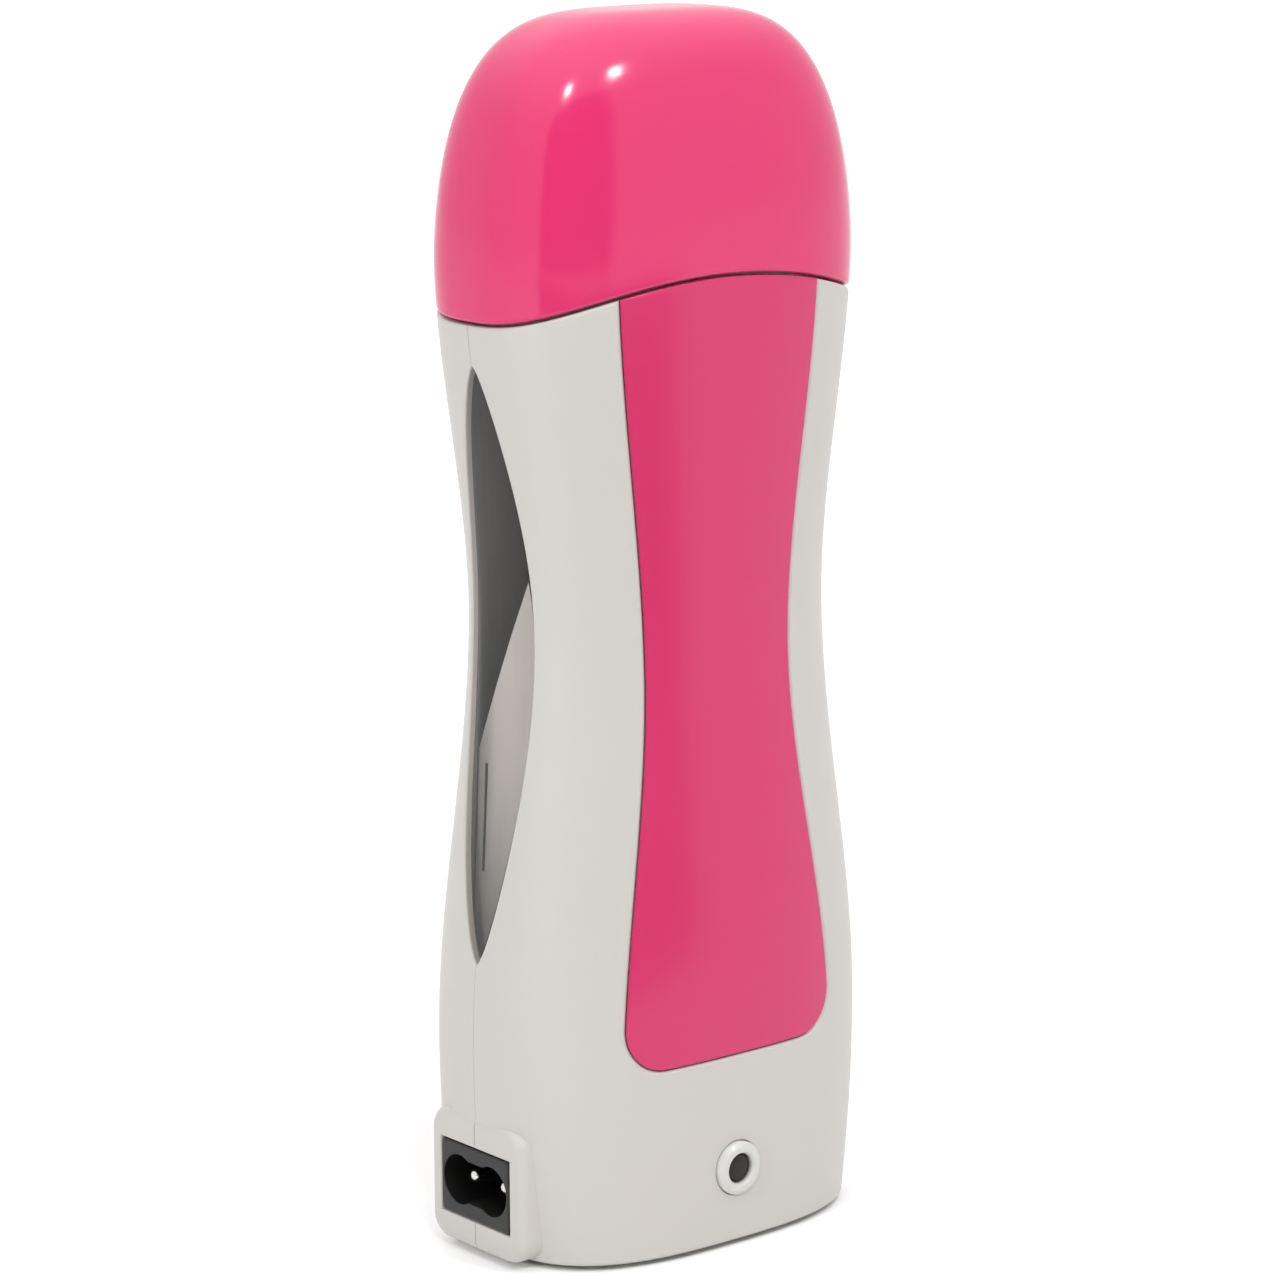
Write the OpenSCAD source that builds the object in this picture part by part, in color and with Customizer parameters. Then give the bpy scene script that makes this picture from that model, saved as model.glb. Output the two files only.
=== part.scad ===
// Roll-on wax heater: a waisted hand-held case with a lift-off cap, two inset panels,
// two eye-shaped level windows, a two-pin mains inlet and an indicator lamp.
// Millimetres. +Z is up, -Y is the front, -X is the side with the mains inlet.
// The origin is under the middle of the case, on the surface that it stands on.

/* [Case] */
// Overall height, from the feet to the top of the cap
height = 210; // [200:1:225]
// Width of the case at its bottom edge
base_w = 70; // [66:0.5:74]
// Depth of the case at its bottom edge
base_d = 48.5; // [46:0.5:50]
// Width of the case at the bulge above its bottom
bulge_w = 77; // [75:0.5:82]
// Depth of the case at the bulge
bulge_d = 47; // [45:0.5:50]
// Height of the bulge
bulge_z = 36; // [32:1:44]
// Width of the case at its waist
waist_w = 64.6; // [63.5:0.5:70]
// Depth of the case at its waist
waist_d = 39; // [38.5:0.5:42]
// Height of the waist
waist_z = 110; // [100:1:118]
// How much wider than the bulge the case is at its shoulder, under the cap
shoulder_extra_w = 0.2; // [-1:0.1:1]
// Depth of the case at its shoulder
shoulder_d = 42; // [41:0.5:46]
// Height of the shoulder
shoulder_z = 172; // [168:1:178]
// How square the plan of the case is: 2 is an ellipse, more is squarer
plan_power = 2.86; // [2.5:0.02:3.2]
// Rounding of the bottom edge of the case
base_edge_r = 0.8; // [0.6:0.1:1.6]
// Wall of the two shells
wall = 2.4; // [2.2:0.1:2.6]
// Space between pieces that are fitted into each other
fit_gap = 0.15; // [0.1:0.05:0.25]

/* [Cap] */
// Height of the line between cap and case, in the middle of the front
cap_line_z = 167; // [165:0.5:169]
// Radius of that line, which is an arch seen from the front
cap_line_r = 111; // [105:1:130]
// Gap between the cap and the case
cap_gap = 0.5; // [0.3:0.05:0.8]
// Wall of the cap
cap_wall = 2.1; // [1.6:0.1:2.2]
// Height where the cap starts to round in
dome_z = 166; // [160:1:172]
// How late the dome leaves the vertical: more is later
dome_rise_power = 2.15; // [2:0.05:2.6]
// How flat the top of the dome is: more is flatter
dome_top_power = 4.0; // [3:0.1:4.4]

/* [Panels] */
// Height of the lower edge of a panel
panel_bottom_z = 34; // [30:1:40]
// Width of a panel at its lower edge
panel_bottom_w = 46; // [42:0.5:48]
// Width of a panel at its narrowest
panel_waist_w = 31.8; // [28:0.2:36]
// Height where a panel is narrowest
panel_waist_z = 102; // [95:1:110]
// Width of a panel at the height of the shoulder
panel_top_w = 43.6; // [40:0.2:46]
// Radius of the two lower corners of a panel
panel_corner_r = 7.5; // [5:0.5:9]
// Thickness of a panel
panel_t = 1.1; // [0.9:0.1:1.3]
// Gap all round a panel
panel_gap = 0.25; // [0.15:0.05:0.4]
// How far the face of a panel lies below the face of the case
panel_sink = 0.1; // [0:0.05:0.2]

/* [Windows] */
// Height of the middle of a window
window_z = 102.4; // [98:0.2:106]
// Height of a window, from tip to tip
window_h = 101.6; // [96:0.4:104]
// Width of a window at its middle
window_w = 16.8; // [14:0.2:17.6]
// How full the eye shape is: less is fuller
window_power = 0.7; // [0.6:0.02:0.9]
// Gap round the raised part of a lens
lens_gap = 0.15; // [0.1:0.05:0.3]
// How far the face of a lens lies below the face of the case
lens_sink = 0.3; // [0.2:0.05:0.5]
// Thickness of the lip of a lens, behind the wall
lens_lip_t = 0.9; // [0.7:0.1:1]
// How far that lip reaches past the window
lens_lip = 1.4; // [1:0.1:1.6]

/* [Indicator] */
// Height of the indicator lamp
lamp_z = 13.8; // [12:0.2:16]
// Outer diameter of its bezel
bezel_d = 9.4; // [8.4:0.2:11]
// How far the bezel stands proud
bezel_proud = 1.2; // [0.8:0.1:1.6]
// Diameter of the hole in the bezel
bezel_hole_d = 5.3; // [5.2:0.1:5.8]
// Diameter of the bezel's shank in the wall
bezel_shank_d = 7.2; // [6.8:0.1:7.6]
// Diameter of the lamp
lamp_d = 5; // [4.8:0.05:5.1]
// Width of the circuit board
board_w = 28; // [26:1:32]
// Height of the circuit board
board_h = 14; // [12:0.5:15]
// Thickness of the circuit board
board_t = 1.6; // [1.2:0.1:2]
// Length of the lamp from the board to its tip
lamp_l = 9.6; // [9:0.1:10.4]
// Distance between the two posts of the board
board_post_span = 21; // [20:0.5:22]

/* [Inlet] */
// Width of the inlet's black face
inlet_w = 18.6; // [18.2:0.2:20]
// Height of the inlet's black face
inlet_h = 12.8; // [12:0.2:14]
// Height of the middle of the inlet
inlet_z = 12.8; // [12:0.2:14]
// Depth of the inlet, from its face to its back
inlet_l = 17.5; // [16:0.5:19]
// Diameter of each of the two round ends of the socket
socket_lobe_d = 8.7; // [8:0.1:8.8]
// Height of the socket between its round ends
socket_neck_h = 7.4; // [6:0.1:8]
// Depth of the socket
socket_depth = 12; // [11:0.5:13]
// Distance between the pins
pin_span = 8.6; // [8.4:0.1:8.8]
// Diameter of a pin
pin_d = 2.4; // [2.2:0.1:2.6]
// How far the tip of a pin lies behind the face
pin_recess = 2.7; // [2:0.1:4]
// Length of the solder tail behind the inlet
tail_l = 5; // [4:0.5:6]
// Thickness of the inlet's flange, behind the wall
flange_t = 2; // [1.5:0.1:2.5]
// How far that flange reaches past the face on each side
flange_reach = 1.9; // [1.4:0.1:2.2]
// Width of the raised surround of the inlet
boss_w = 25; // [24:0.5:28]
// Height of the top of the surround
boss_top_z = 24.6; // [23:0.2:27]
// Rounding of the surround's front edge
boss_edge = 1.7; // [1:0.1:2.2]
// Radius of the surround's corners
boss_corner_r = 4; // [3:0.5:5]

/* [Cartridge well] */
// Width of the well between the heat plates
well_w = 53.6; // [50:0.2:54]
// Depth of the well between the heat plates
well_d = 29.6; // [28:0.2:30]
// Radius of the well's corners
well_r = 12; // [11.5:0.5:13.5]
// Height of the well's floor
well_floor_z = 38.4; // [36.4:0.2:42]
// Thickness of the tray under the well
tray_t = 2.4; // [2:0.1:3]
// Height of the rim on the tray that holds the plates
tray_rim_h = 3; // [2:0.5:5]
// Thickness of a heat plate
plate_t = 0.8; // [0.6:0.1:1]
// Space between the two plates on each narrow side, behind the window
plate_slot = 18; // [16:0.5:20]
// Height of the top of the front plate's two tongues, which close the lower part of that space
tongue_front_z = 129; // [120:1:136]
// Height to which the slanted edge of a tongue comes down at the rear
tongue_rear_z = 86; // [78:1:94]

/* [Neck] */
// Height of the top of the neck that guides the cap
neck_top_z = 175; // [173:0.5:177]
// Wall of the neck
neck_wall = 1.4; // [1.2:0.1:1.8]
// Height of the deck round the mouth of the well
deck_z = 160; // [158:0.5:163]
// Thickness of the deck
deck_t = 2; // [1.6:0.1:2.6]
// Height of the lower edge of the neck, inside the case
neck_bottom_z = 150; // [147:0.5:152]
// Space between the neck and the cap
cap_clear = 0.4; // [0.3:0.05:0.6]

/* [Heater] */
// Width of the heating element
heater_w = 21; // [18:0.5:21]
// Height of the heating element
heater_h = 15; // [12:0.5:16]
// Thickness of the heating element
heater_t = 1.8; // [1.6:0.1:2]
// Height of the middle of the heating element
heater_z = 61; // [60:0.5:66]
// Thickness of the spring clip that presses it on the plate
clip_t = 0.5; // [0.4:0.1:0.6]
// Width of each foot of the clip
clip_foot = 3; // [2:0.5:3.5]
// Diameter of the thermal fuse
fuse_d = 3.6; // [3:0.1:3.8]
// Length of the thermal fuse
fuse_l = 11; // [9:0.5:12]
// Height of the thermal fuse
fuse_z = 45; // [44:0.5:46]
// Distance of the thermal fuse from the middle, towards the inlet's side
fuse_x = 7; // [6.5:0.5:8]
// Diameter of the insulated leads
lead_d = 1.8; // [1.4:0.1:1.8]
// Diameter of the thin leads of the indicator
thin_lead_d = 1.2; // [1:0.1:1.4]

/* [Feet and screws] */
// Height that the feet hold the case above the surface
foot_h = 0.9; // [0.5:0.1:1.4]
// Diameter of a foot
foot_d = 7; // [6:0.5:8]
// Depth of a foot's seat in the case
foot_seat = 0.8; // [0.5:0.1:1.2]
// Distance between the feet, side to side
foot_span_x = 48; // [42:1:50]
// Distance between the feet, front to back
foot_span_y = 25; // [22:1:28]
// Distance between the two case screws
screw_span = 46; // [44:0.5:48]
// Height of the case screws
screw_z = 27.4; // [26.6:0.2:28.4]
// Diameter of a case screw
screw_d = 2.9; // [2.6:0.1:3.2]
// Length of a case screw under its head
screw_l = 22; // [18:1:24]
// Diameter of a case screw's head
screw_head_d = 5.6; // [5.2:0.1:6]
// Height of a case screw's head
screw_head_h = 2; // [1.6:0.1:2.4]
// Wall round a case screw's hole
screw_boss_wall = 1.2; // [1:0.1:1.4]
// Diameter of a board screw
board_screw_d = 2; // [1.8:0.1:2.2]

/* [Hidden] */
$fn = 48;

// Turn between two points of a plan outline
plan_step = 7.5;
// Number of steps between the bottom and the top of a shell
shell_steps = 24;
// Number of steps over the dome of the cap
dome_steps = 15;
// The top ring of the dome is drawn at this turn, so that it keeps a small flat
last_dome_angle = 89;
// Number of steps along an edge of a panel or a window
edge_steps = 20;
// How far cutting shapes reach past what they cut
past = 1;
// A size that counts as nothing
tiny = 0.001;
// A size that is larger than the whole object
huge = 300;

// Width of the case at its shoulder
shoulder_w = bulge_w + shoulder_extra_w;
// The cap line is the top of a drum that lies along Y
cap_drum_z = cap_line_z - cap_line_r;
// Top of the shells before the cap line is cut
shell_top_z = cap_line_z + 2 * past;
// Plane of the inlet's face, as far out as the bulge
inlet_x = -bulge_w / 2;
// Depth behind that plane of the flat wall that the inlet's flange leans on
inlet_flat = 4.3;
// Depth of the surround behind its face, which ends inside the wall
surround_depth = 6;
// Height of the bottom of the surround, just above the bottom of the case
boss_lift = 0.3;
boss_bottom_z = foot_h + boss_lift;
// Ribs behind the inlet's flange
flange_rib_t = 1.8;
// The flat solder tails of the pins
tail_t = 0.8;
// The cone at the tip of an inlet pin
pin_tip_d = 0.6 * pin_d;
pin_tip_l = 0.25 * pin_d;
// Ledges inside the shells
ledge_w = 8;
ledge_h = 3;
ledge_reach = 2.5;
tray_ledge_x = 22;
neck_ledge_x = 12;
// Angles in the plan that the front of the case, a panel and a lens span
half_start_angle = 180 - plan_step;
half_end_angle = 360 + plan_step;
panel_start_angle = 232.5;
panel_end_angle = 307.5;
panel_past = 3;
lens_angle = 30;
// Space in front of the lip of a lens
lens_seat = 0.1;
// Depth of the bezel's seat
bezel_seat = 0.4;
// Space round a screw's thread and an inlet pin
screw_play = 0.05;
// The lamp's flat tip lies inside the bezel, in front of the face of the case
lamp_proud = 0.5;
lamp_tip_y = -case_d(lamp_z) - lamp_proud;
lamp_edge = 0.5;
board_y = lamp_tip_y + lamp_l;
lamp_wire_d = 0.5;
lamp_wire_x = 1.27;
lamp_wire_l = 1.2;
lamp_rim_d = lamp_d + 0.8;
lamp_rim_h = 1;
// Components on the rear face of the board
part_offset = 4.6;
resistor_d = 2.4;
resistor_l = 6.4;
diode_d = 2.6;
diode_l = 5.2;
wire_d = 0.6;
wire_l = 1.2;
// Outer depth of the two plates together, and the heights of tray and plates
plates_d = well_d + 2 * plate_t;
// Gap between a tongue of the front plate and the rear plate
tongue_gap = 0.6;
// The slit in each tongue
slit_w = 0.8;
slit_y = 5.9;
slit_z = 65;
slit_h = 19;
plate_top_z = deck_z - deck_t - fit_gap;
tray_bottom_z = well_floor_z - tray_t;
tray_rim_t = 1.2;
tray_w = min(case_w(tray_bottom_z), case_w(well_floor_z)) - wall - fit_gap;
tray_d = min(case_d(tray_bottom_z), case_d(well_floor_z)) - wall - fit_gap;
// Where the wider, upper part of the neck starts, just below the cap line at the sides
neck_step_drop = 2;
neck_step_z = cap_edge_z(shoulder_w / 2) - neck_step_drop;
// Half sizes of the neck's two parts
neck_low_w = case_w(neck_bottom_z) - wall - fit_gap;
neck_low_d = case_d(neck_bottom_z) - wall - fit_gap;
neck_high_w = min(case_w(neck_step_z) - wall - fit_gap, cap_room_w(neck_step_z), cap_room_w(neck_top_z));
neck_high_d = min(case_d(neck_step_z) - wall - fit_gap, cap_room_d(neck_step_z), cap_room_d(neck_top_z));
// Ribs inside the cap
cap_rib_x = 12;
cap_rib_t = 2;
cap_rib_h = 8;
cap_rib_reach = 2.5;
cap_rib_gap = 0.05;
// Terminals of the heating element, its clip and the fuse's wires
terminal_x = 6;
terminal_w = 3;
terminal_t = 0.4;
terminal_l = 3.5;
clip_h = 8;
fuse_y = plates_d / 2 + fuse_d / 2;
fuse_wire_d = 0.9;
fuse_tail = 2.5;
// Case screws: the heads sit in deep holes at the rear, and the shells meet at y = 0
screw_seat_y = 11;
screw_point_y = screw_seat_y - screw_l;
screw_boss_d = screw_head_d + 2 * fit_gap + 2 * screw_boss_wall;
// The cross in a case screw's head
cross_l = 0.6 * screw_head_d;
cross_w = 0.8;
// Board posts and screws
board_post_wall = 1.2;
board_post_d = board_screw_d + 2 * board_post_wall;
board_screw_head_d = 1.8 * board_screw_d;
board_screw_head_h = 0.5 * board_screw_d;
board_screw_l = 6;

// Share of a stretch that a cut corner of a lead takes, and a direction that no lead runs in
corner_share = 0.3;
lead_reference = [1, 1, -1];
// Leads: where they start and end, how they run between, and the space round them
lead_gap = 0.4;
tail_x = inlet_x + inlet_l + tail_l;
pin_y = pin_span / 2;
lead_y = plates_d / 2 + tray_rim_t + fit_gap + lead_d / 2 + lead_gap;
live_notch_x = -16.5;
neutral_notch_x = 9;
lead_play = 0.3;
lead_run = 2;
lead_low_z = screw_z + 4;
lead_high_z = well_floor_z + tray_rim_h + 1;
terminal_y = plates_d / 2 + heater_t / 2;
terminal_z = heater_z - heater_h / 2 - terminal_l;
fuse_near_x = -fuse_x - fuse_l / 2 - fuse_tail;
fuse_far_x = -fuse_x + fuse_l / 2 + fuse_tail;
fuse_lead_z = terminal_z - lead_run;
live_route = [[tail_x, pin_y, inlet_z], [tail_x + lead_run, pin_y, inlet_z],
              [live_notch_x, lead_y, lead_low_z], [live_notch_x, lead_y, lead_high_z],
              [fuse_near_x - lead_run, fuse_y, fuse_z], [fuse_near_x, fuse_y, fuse_z]];
neutral_route = [[tail_x, -pin_y, inlet_z], [tail_x + lead_run, -pin_y, inlet_z], [4, 8, 20],
                 [neutral_notch_x, lead_y, lead_low_z], [neutral_notch_x, lead_y, lead_high_z],
                 [terminal_x, terminal_y, terminal_z - lead_run], [terminal_x, terminal_y, terminal_z]];
fuse_route = [[fuse_far_x, fuse_y, fuse_z], [fuse_far_x + lead_run, fuse_y, fuse_z],
              [fuse_far_x + lead_run, terminal_y, fuse_lead_z], [-terminal_x, terminal_y, fuse_lead_z],
              [-terminal_x, terminal_y, terminal_z]];
board_back_y = board_y + board_t;
board_lead_x = -8;
tail_mid_x = tail_x - tail_l / 2;
near_tail_y = -pin_y - tail_t / 2;
far_tail_y = pin_y - tail_t / 2;
lamp_route_near = [[board_lead_x, board_back_y, lamp_z + part_offset],
                   [board_lead_x, board_back_y + lead_run, lamp_z + part_offset],
                   [tail_mid_x, near_tail_y - lead_run, inlet_z], [tail_mid_x, near_tail_y, inlet_z]];
lamp_route_far = [[board_lead_x, board_back_y, lamp_z - part_offset],
                  [board_lead_x, board_back_y + lead_run, lamp_z - part_offset],
                  [tail_mid_x, -pin_y, lamp_z - part_offset],
                  [tail_mid_x, far_tail_y - lead_run, inlet_z], [tail_mid_x, far_tail_y, inlet_z]];

// ---- Form of the case -------------------------------------------------------------

function clamp01(t) = max(0, min(1, t));
function ease(t) = clamp01(t) * clamp01(t) * (3 - 2 * clamp01(t));
function blend(z, z0, z1, v0, v1) = v0 + (v1 - v0) * ease((z - z0) / (z1 - z0));

// A half size of the case at height z, from the same size at base, bulge, waist and shoulder
function station(z, base, bulge, waist, shoulder) =
    (z < bulge_z ? bulge - (bulge - base) * pow((bulge_z - z) / bulge_z, 2)
     : z < waist_z ? blend(z, bulge_z, waist_z, bulge, waist)
     : blend(z, waist_z, shoulder_z, waist, shoulder)) / 2;
function case_w(z) = station(z, base_w, bulge_w, waist_w, shoulder_w);
function case_d(z) = station(z, base_d, bulge_d, waist_d, shoulder_d);

// Share of its full size that the dome has left at a turn of 0 to 90 degrees, and its height
function dome_share(turn) = pow(cos(turn), 2 / dome_top_power);
function dome_height(turn, top) = dome_z + (top - dome_z) * pow(sin(turn), 2 / dome_rise_power);
function dome_at(z, top) =
    z <= dome_z ? 1 : pow(1 - pow((z - dome_z) / (top - dome_z), dome_rise_power), 1 / dome_top_power);

// Room for the neck inside the cap at height z
function cap_room_w(z) = (case_w(z) - cap_wall) * dome_at(z, height - cap_wall) - cap_clear;
function cap_room_d(z) = (case_d(z) - cap_wall) * dome_at(z, height - cap_wall) - cap_clear;

// Height of the cap line at a distance x from the middle
function cap_edge_z(x) = cap_drum_z + sqrt(cap_line_r * cap_line_r - x * x);
// A point of the plan outline with half sizes w and d, at a turn from the +X direction
function signed_power(v, p) = sign(v) * pow(abs(v), p);
function plan_point(turn, w, d) =
    [w * signed_power(cos(turn), 2 / plan_power), d * signed_power(sin(turn), 2 / plan_power)];
function plan(from, to, w, d) = [for (turn = [from : plan_step : to + 0.01]) plan_point(turn, w, d)];
function ring(from, to, w, d, z) = [for (p = plan(from, to, w, d)) [p[0], p[1], z]];

// Part of the plan outline between two turns, at height z and a depth below the face
function case_ring(from, to, z, depth) = ring(from, to, case_w(z) - depth, case_d(z) - depth, z);

// Heights of the rings of a shell
function steps(z0, z1, n) = [for (i = [0 : n]) z0 + (z1 - z0) * i / n];

// A closed solid through rings that have the same number of points, lowest first
module loft(rings) {
    n = len(rings[0]);
    last = len(rings) - 1;
    points = [for (r = rings) each r];
    sides = [for (i = [0 : last - 1], j = [0 : n - 1])
             let (a = i * n + j, b = i * n + (j + 1) % n)
             each [[a, a + n, b], [b, a + n, b + n]]];
    bottom = [for (j = [0 : n - 1]) j];
    top = [for (j = [n - 1 : -1 : 0]) last * n + j];
    polyhedron(points, concat(sides, [bottom, top]));
}

// A curved slab that follows the face of the case between two depths below it
module face_slab(from, to, z0, z1, n, outer, inner) {
    loft([for (z = steps(z0, z1, n))
          concat(case_ring(from, to, z, outer), reverse(case_ring(from, to, z, inner)))]);
}
function reverse(list) = [for (i = [len(list) - 1 : -1 : 0]) list[i]];

// Everything below the cap line
module under_cap_line(gap) {
    translate([0, 0, cap_drum_z])
        rotate([90, 0, 0]) cylinder(r = cap_line_r + gap, h = huge, center = true, $fn = 180);
}

// A disc or bar along Y, from y0 to y1
module bar_y(x, z, d, y0, y1) {
    translate([x, y0, z]) rotate([-90, 0, 0]) cylinder(d = d, h = y1 - y0);
}

// A rounded rectangle in the plane
module rounded_rect(w, h, r) {
    square([w - 2 * r, h], center = true);
    square([w, h - 2 * r], center = true);
    for (sx = [-1, 1], sy = [-1, 1])
        translate([sx * (w / 2 - r), sy * (h / 2 - r)]) circle(r);
}

// A route with its corners cut off twice, so that it bends smoothly
function cut_corners(route) =
    concat([route[0]],
           [for (i = [1 : len(route) - 2])
            each [route[i] + (route[i - 1] - route[i]) * corner_share,
                  route[i] + (route[i + 1] - route[i]) * corner_share]],
           [route[len(route) - 1]]);
function unit(v) = v / norm(v);
function heading(route, i) =
    unit((i > 0 ? unit(route[i] - route[i - 1]) : [0, 0, 0])
         + (i < len(route) - 1 ? unit(route[i + 1] - route[i]) : [0, 0, 0]));

// An insulated lead: a tube swept along a route
module lead(route, d) {
    path = cut_corners(cut_corners(route));
    loft([for (i = [0 : len(path) - 1])
          let (t = heading(path, i), u = unit(cross(t, lead_reference)), v = cross(t, u))
          [for (turn = [0 : 45 : 315]) path[i] + d / 2 * (cos(turn) * u + sin(turn) * v)]]);
}

// ---- Outlines -----------------------------------------------------------------------

// Half width of a panel at height z
function panel_half(z) =
    (z < panel_waist_z ? blend(z, panel_bottom_z, panel_waist_z, panel_bottom_w, panel_waist_w)
     : blend(z, panel_waist_z, shoulder_z, panel_waist_w, panel_top_w)) / 2;

// Right half of a panel's outline in X and Z, grown all round by grow
function panel_side(grow) =
    let (r = panel_corner_r + grow,
         z0 = panel_bottom_z - grow,
         x0 = panel_half(z0 + r) + grow - r)
    concat([for (turn = [-90 : 15 : 0]) [x0 + r * cos(turn), z0 + r + r * sin(turn)]],
           [for (i = [1 : edge_steps])
            let (z = z0 + r + (shoulder_z - z0 - r) * i / edge_steps) [panel_half(z) + grow, z]]);
function mirrored(list) = [for (p = reverse(list)) [-p[0], p[1]]];

// A block with the outline of a panel, at the front
module panel_block(grow) {
    rotate([90, 0, 0])
        linear_extrude(huge / 2) polygon(concat(panel_side(grow), mirrored(panel_side(grow))));
}

// Half width of a window at a share u of its half height
function window_half(u) = window_w / 2 * pow(1 - u * u, window_power);
function window_side() =
    [for (i = [0 : edge_steps])
     let (u = sin(-90 + 180 * i / edge_steps))
     [window_half(u), u]];

// A block with the eye shape of a window, grown by grow, at the left side
module window_block(grow) {
    half_h = window_h / 2 + grow;
    side = [for (p = window_side()) [p[0] + grow * (1 - p[1] * p[1]), p[1] * half_h]];
    translate([0, 0, window_z]) rotate([90, 0, -90])
        linear_extrude(huge / 2)
        polygon(concat(side, [for (p = mirrored(side)) if (abs(p[0]) > tiny) p]));
}

// ---- Case ---------------------------------------------------------------------------

// A ring of the front of the case, at height z and a depth below the face
function half_ring(z, depth) = case_ring(half_start_angle, half_end_angle, z, depth);

// The front of the case as a solid, with a rounded bottom edge. Like the room inside it,
// it reaches a little past the plane between the shells.
module case_solid() {
    loft(concat(
        [for (turn = [0 : 30 : 60])
         half_ring(foot_h + base_edge_r * (1 - cos(turn)), base_edge_r * (1 - sin(turn)))],
        [for (z = steps(foot_h + base_edge_r, shell_top_z, shell_steps)) half_ring(z, 0)]));
}

// The room inside the front of the case
module case_room() {
    loft([for (z = steps(foot_h + wall, shell_top_z + past, shell_steps)) half_ring(z, wall)]);
}

// Everything in front of the plane between the shells
module front_side() {
    translate([-huge / 2, -huge, -past]) cube([huge, huge, huge]);
}

// A rounded rectangle across X, at a depth behind the inlet's face and drawn in by inset
function surround_ring(depth, inset) =
    let (r = boss_corner_r - inset,
         w = boss_w / 2 - boss_corner_r,
         h = (boss_top_z - boss_bottom_z) / 2 - boss_corner_r)
    [for (quarter = [0 : 3], turn = [0 : 22.5 : 90])
     let (a = 90 * quarter + turn)
     [inlet_x + depth,
      (quarter == 0 || quarter == 3 ? w : -w) + r * cos(a),
      (boss_bottom_z + boss_top_z) / 2 + (quarter < 2 ? h : -h) + r * sin(a)]];

// The raised surround of the inlet, with a rounded front edge
module surround() {
    loft(concat([for (turn = [0 : 30 : 90])
                 surround_ring(boss_edge * (1 - cos(turn)), boss_edge * (1 - sin(turn)))],
                [surround_ring(surround_depth, 0)]));
}

// A block centred on the inlet, between two depths behind its face
module inlet_block(x0, x1, w, h) {
    translate([inlet_x + x0, -w / 2, inlet_z - h / 2]) cube([x1 - x0, w, h]);
}

// A ledge on the front wall, whose top is at height z and whose tip is at a distance y
module ledge(x, z, y) {
    translate([x - ledge_w / 2, -huge, z - ledge_h]) cube([ledge_w, huge - y, ledge_h]);
}

// What stands on the inside of a shell: ledges for tray and neck, ribs that hold the
// inlet's flange, and screw bosses that meet in the plane between the shells
module inner_features() {
    for (side = [-1, 1]) {
        ledge(side * tray_ledge_x, tray_bottom_z, case_d(tray_bottom_z) - wall - ledge_reach);
        ledge(side * neck_ledge_x, neck_bottom_z, plates_d / 2 + 2 * fit_gap);
        bar_y(side * screw_span / 2, screw_z, screw_boss_d, -huge, past);
    }
    translate([inlet_x + inlet_flat + flange_t + fit_gap, -huge, 0])
        cube([flange_rib_t, huge - inlet_w / 2 - fit_gap, inlet_z + inlet_h / 2 + flange_reach]);
}

// One shell, at the front; the rear shell is its mirror image
module shell() {
    difference() {
        intersection() {
            union() {
                case_solid();
                surround();
            }
            under_cap_line(-cap_gap / 2);
            front_side();
        }
        difference() {
            case_room();
            inner_features();
            children();
        }
        panel_seat();
        for (side = [0, 1]) mirror([side, 0, 0]) window_block(0);
        inlet_block(-past, inlet_flat + past, inlet_w + 2 * fit_gap, inlet_h + 2 * fit_gap);
        inlet_block(inlet_flat, inlet_flat + flange_t + fit_gap,
                    inlet_w + 2 * (flange_reach + fit_gap), inlet_h + 2 * (flange_reach + fit_gap));
        foot_places(-past, foot_h + foot_seat, foot_d + 2 * fit_gap);
    }
}

// Upright bars where the two feet of the front half are
module foot_places(z0, z1, d) {
    for (side = [-1, 1])
        translate([side * foot_span_x / 2, -foot_span_y / 2, z0]) cylinder(d = d, h = z1 - z0);
}

// The recess for a panel, open towards the front and the cap
module panel_seat() {
    intersection() {
        face_slab(panel_start_angle, panel_end_angle, panel_bottom_z - panel_past, cap_line_z + panel_past,
                  edge_steps, -wall, panel_sink + panel_t);
        panel_block(panel_gap);
    }
}

module front_shell() {
    color("#d1cfc8")
    difference() {
        shell() {
            for (side = [-1, 1])
                bar_y(side * board_post_span / 2, lamp_z, board_post_d, -huge, board_y);
        }
        bar_y(0, lamp_z, bezel_shank_d + 2 * fit_gap, -huge, 0);
        bar_y(0, lamp_z, bezel_d + 2 * fit_gap, -huge, -case_d(lamp_z) + bezel_seat);
        for (side = [-1, 1]) {
            bar_y(side * board_post_span / 2, lamp_z, board_screw_d + 2 * screw_play,
                  board_back_y - board_screw_l - past, board_y + past);
            bar_y(side * screw_span / 2, screw_z, screw_d + 2 * screw_play, screw_point_y - past, past);
        }
    }
}

module rear_shell() {
    color("#d1cfc8")
    mirror([0, 1, 0])
    difference() {
        shell();
        for (side = [-1, 1]) {
            bar_y(side * screw_span / 2, screw_z, screw_d + 2 * fit_gap, -screw_seat_y - past, past);
            bar_y(side * screw_span / 2, screw_z, screw_head_d + 2 * fit_gap, -huge, -screw_seat_y);
        }
    }
}

module panel() {
    intersection() {
        face_slab(panel_start_angle, panel_end_angle, panel_bottom_z - panel_past, cap_line_z + panel_past,
                  edge_steps, panel_sink, panel_sink + panel_t);
        panel_block(0);
        under_cap_line(-cap_gap / 2);
    }
}

module front_panel() {
    color("#de527a") panel();
}

module rear_panel() {
    color("#de527a") mirror([0, 1, 0]) panel();
}

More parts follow.
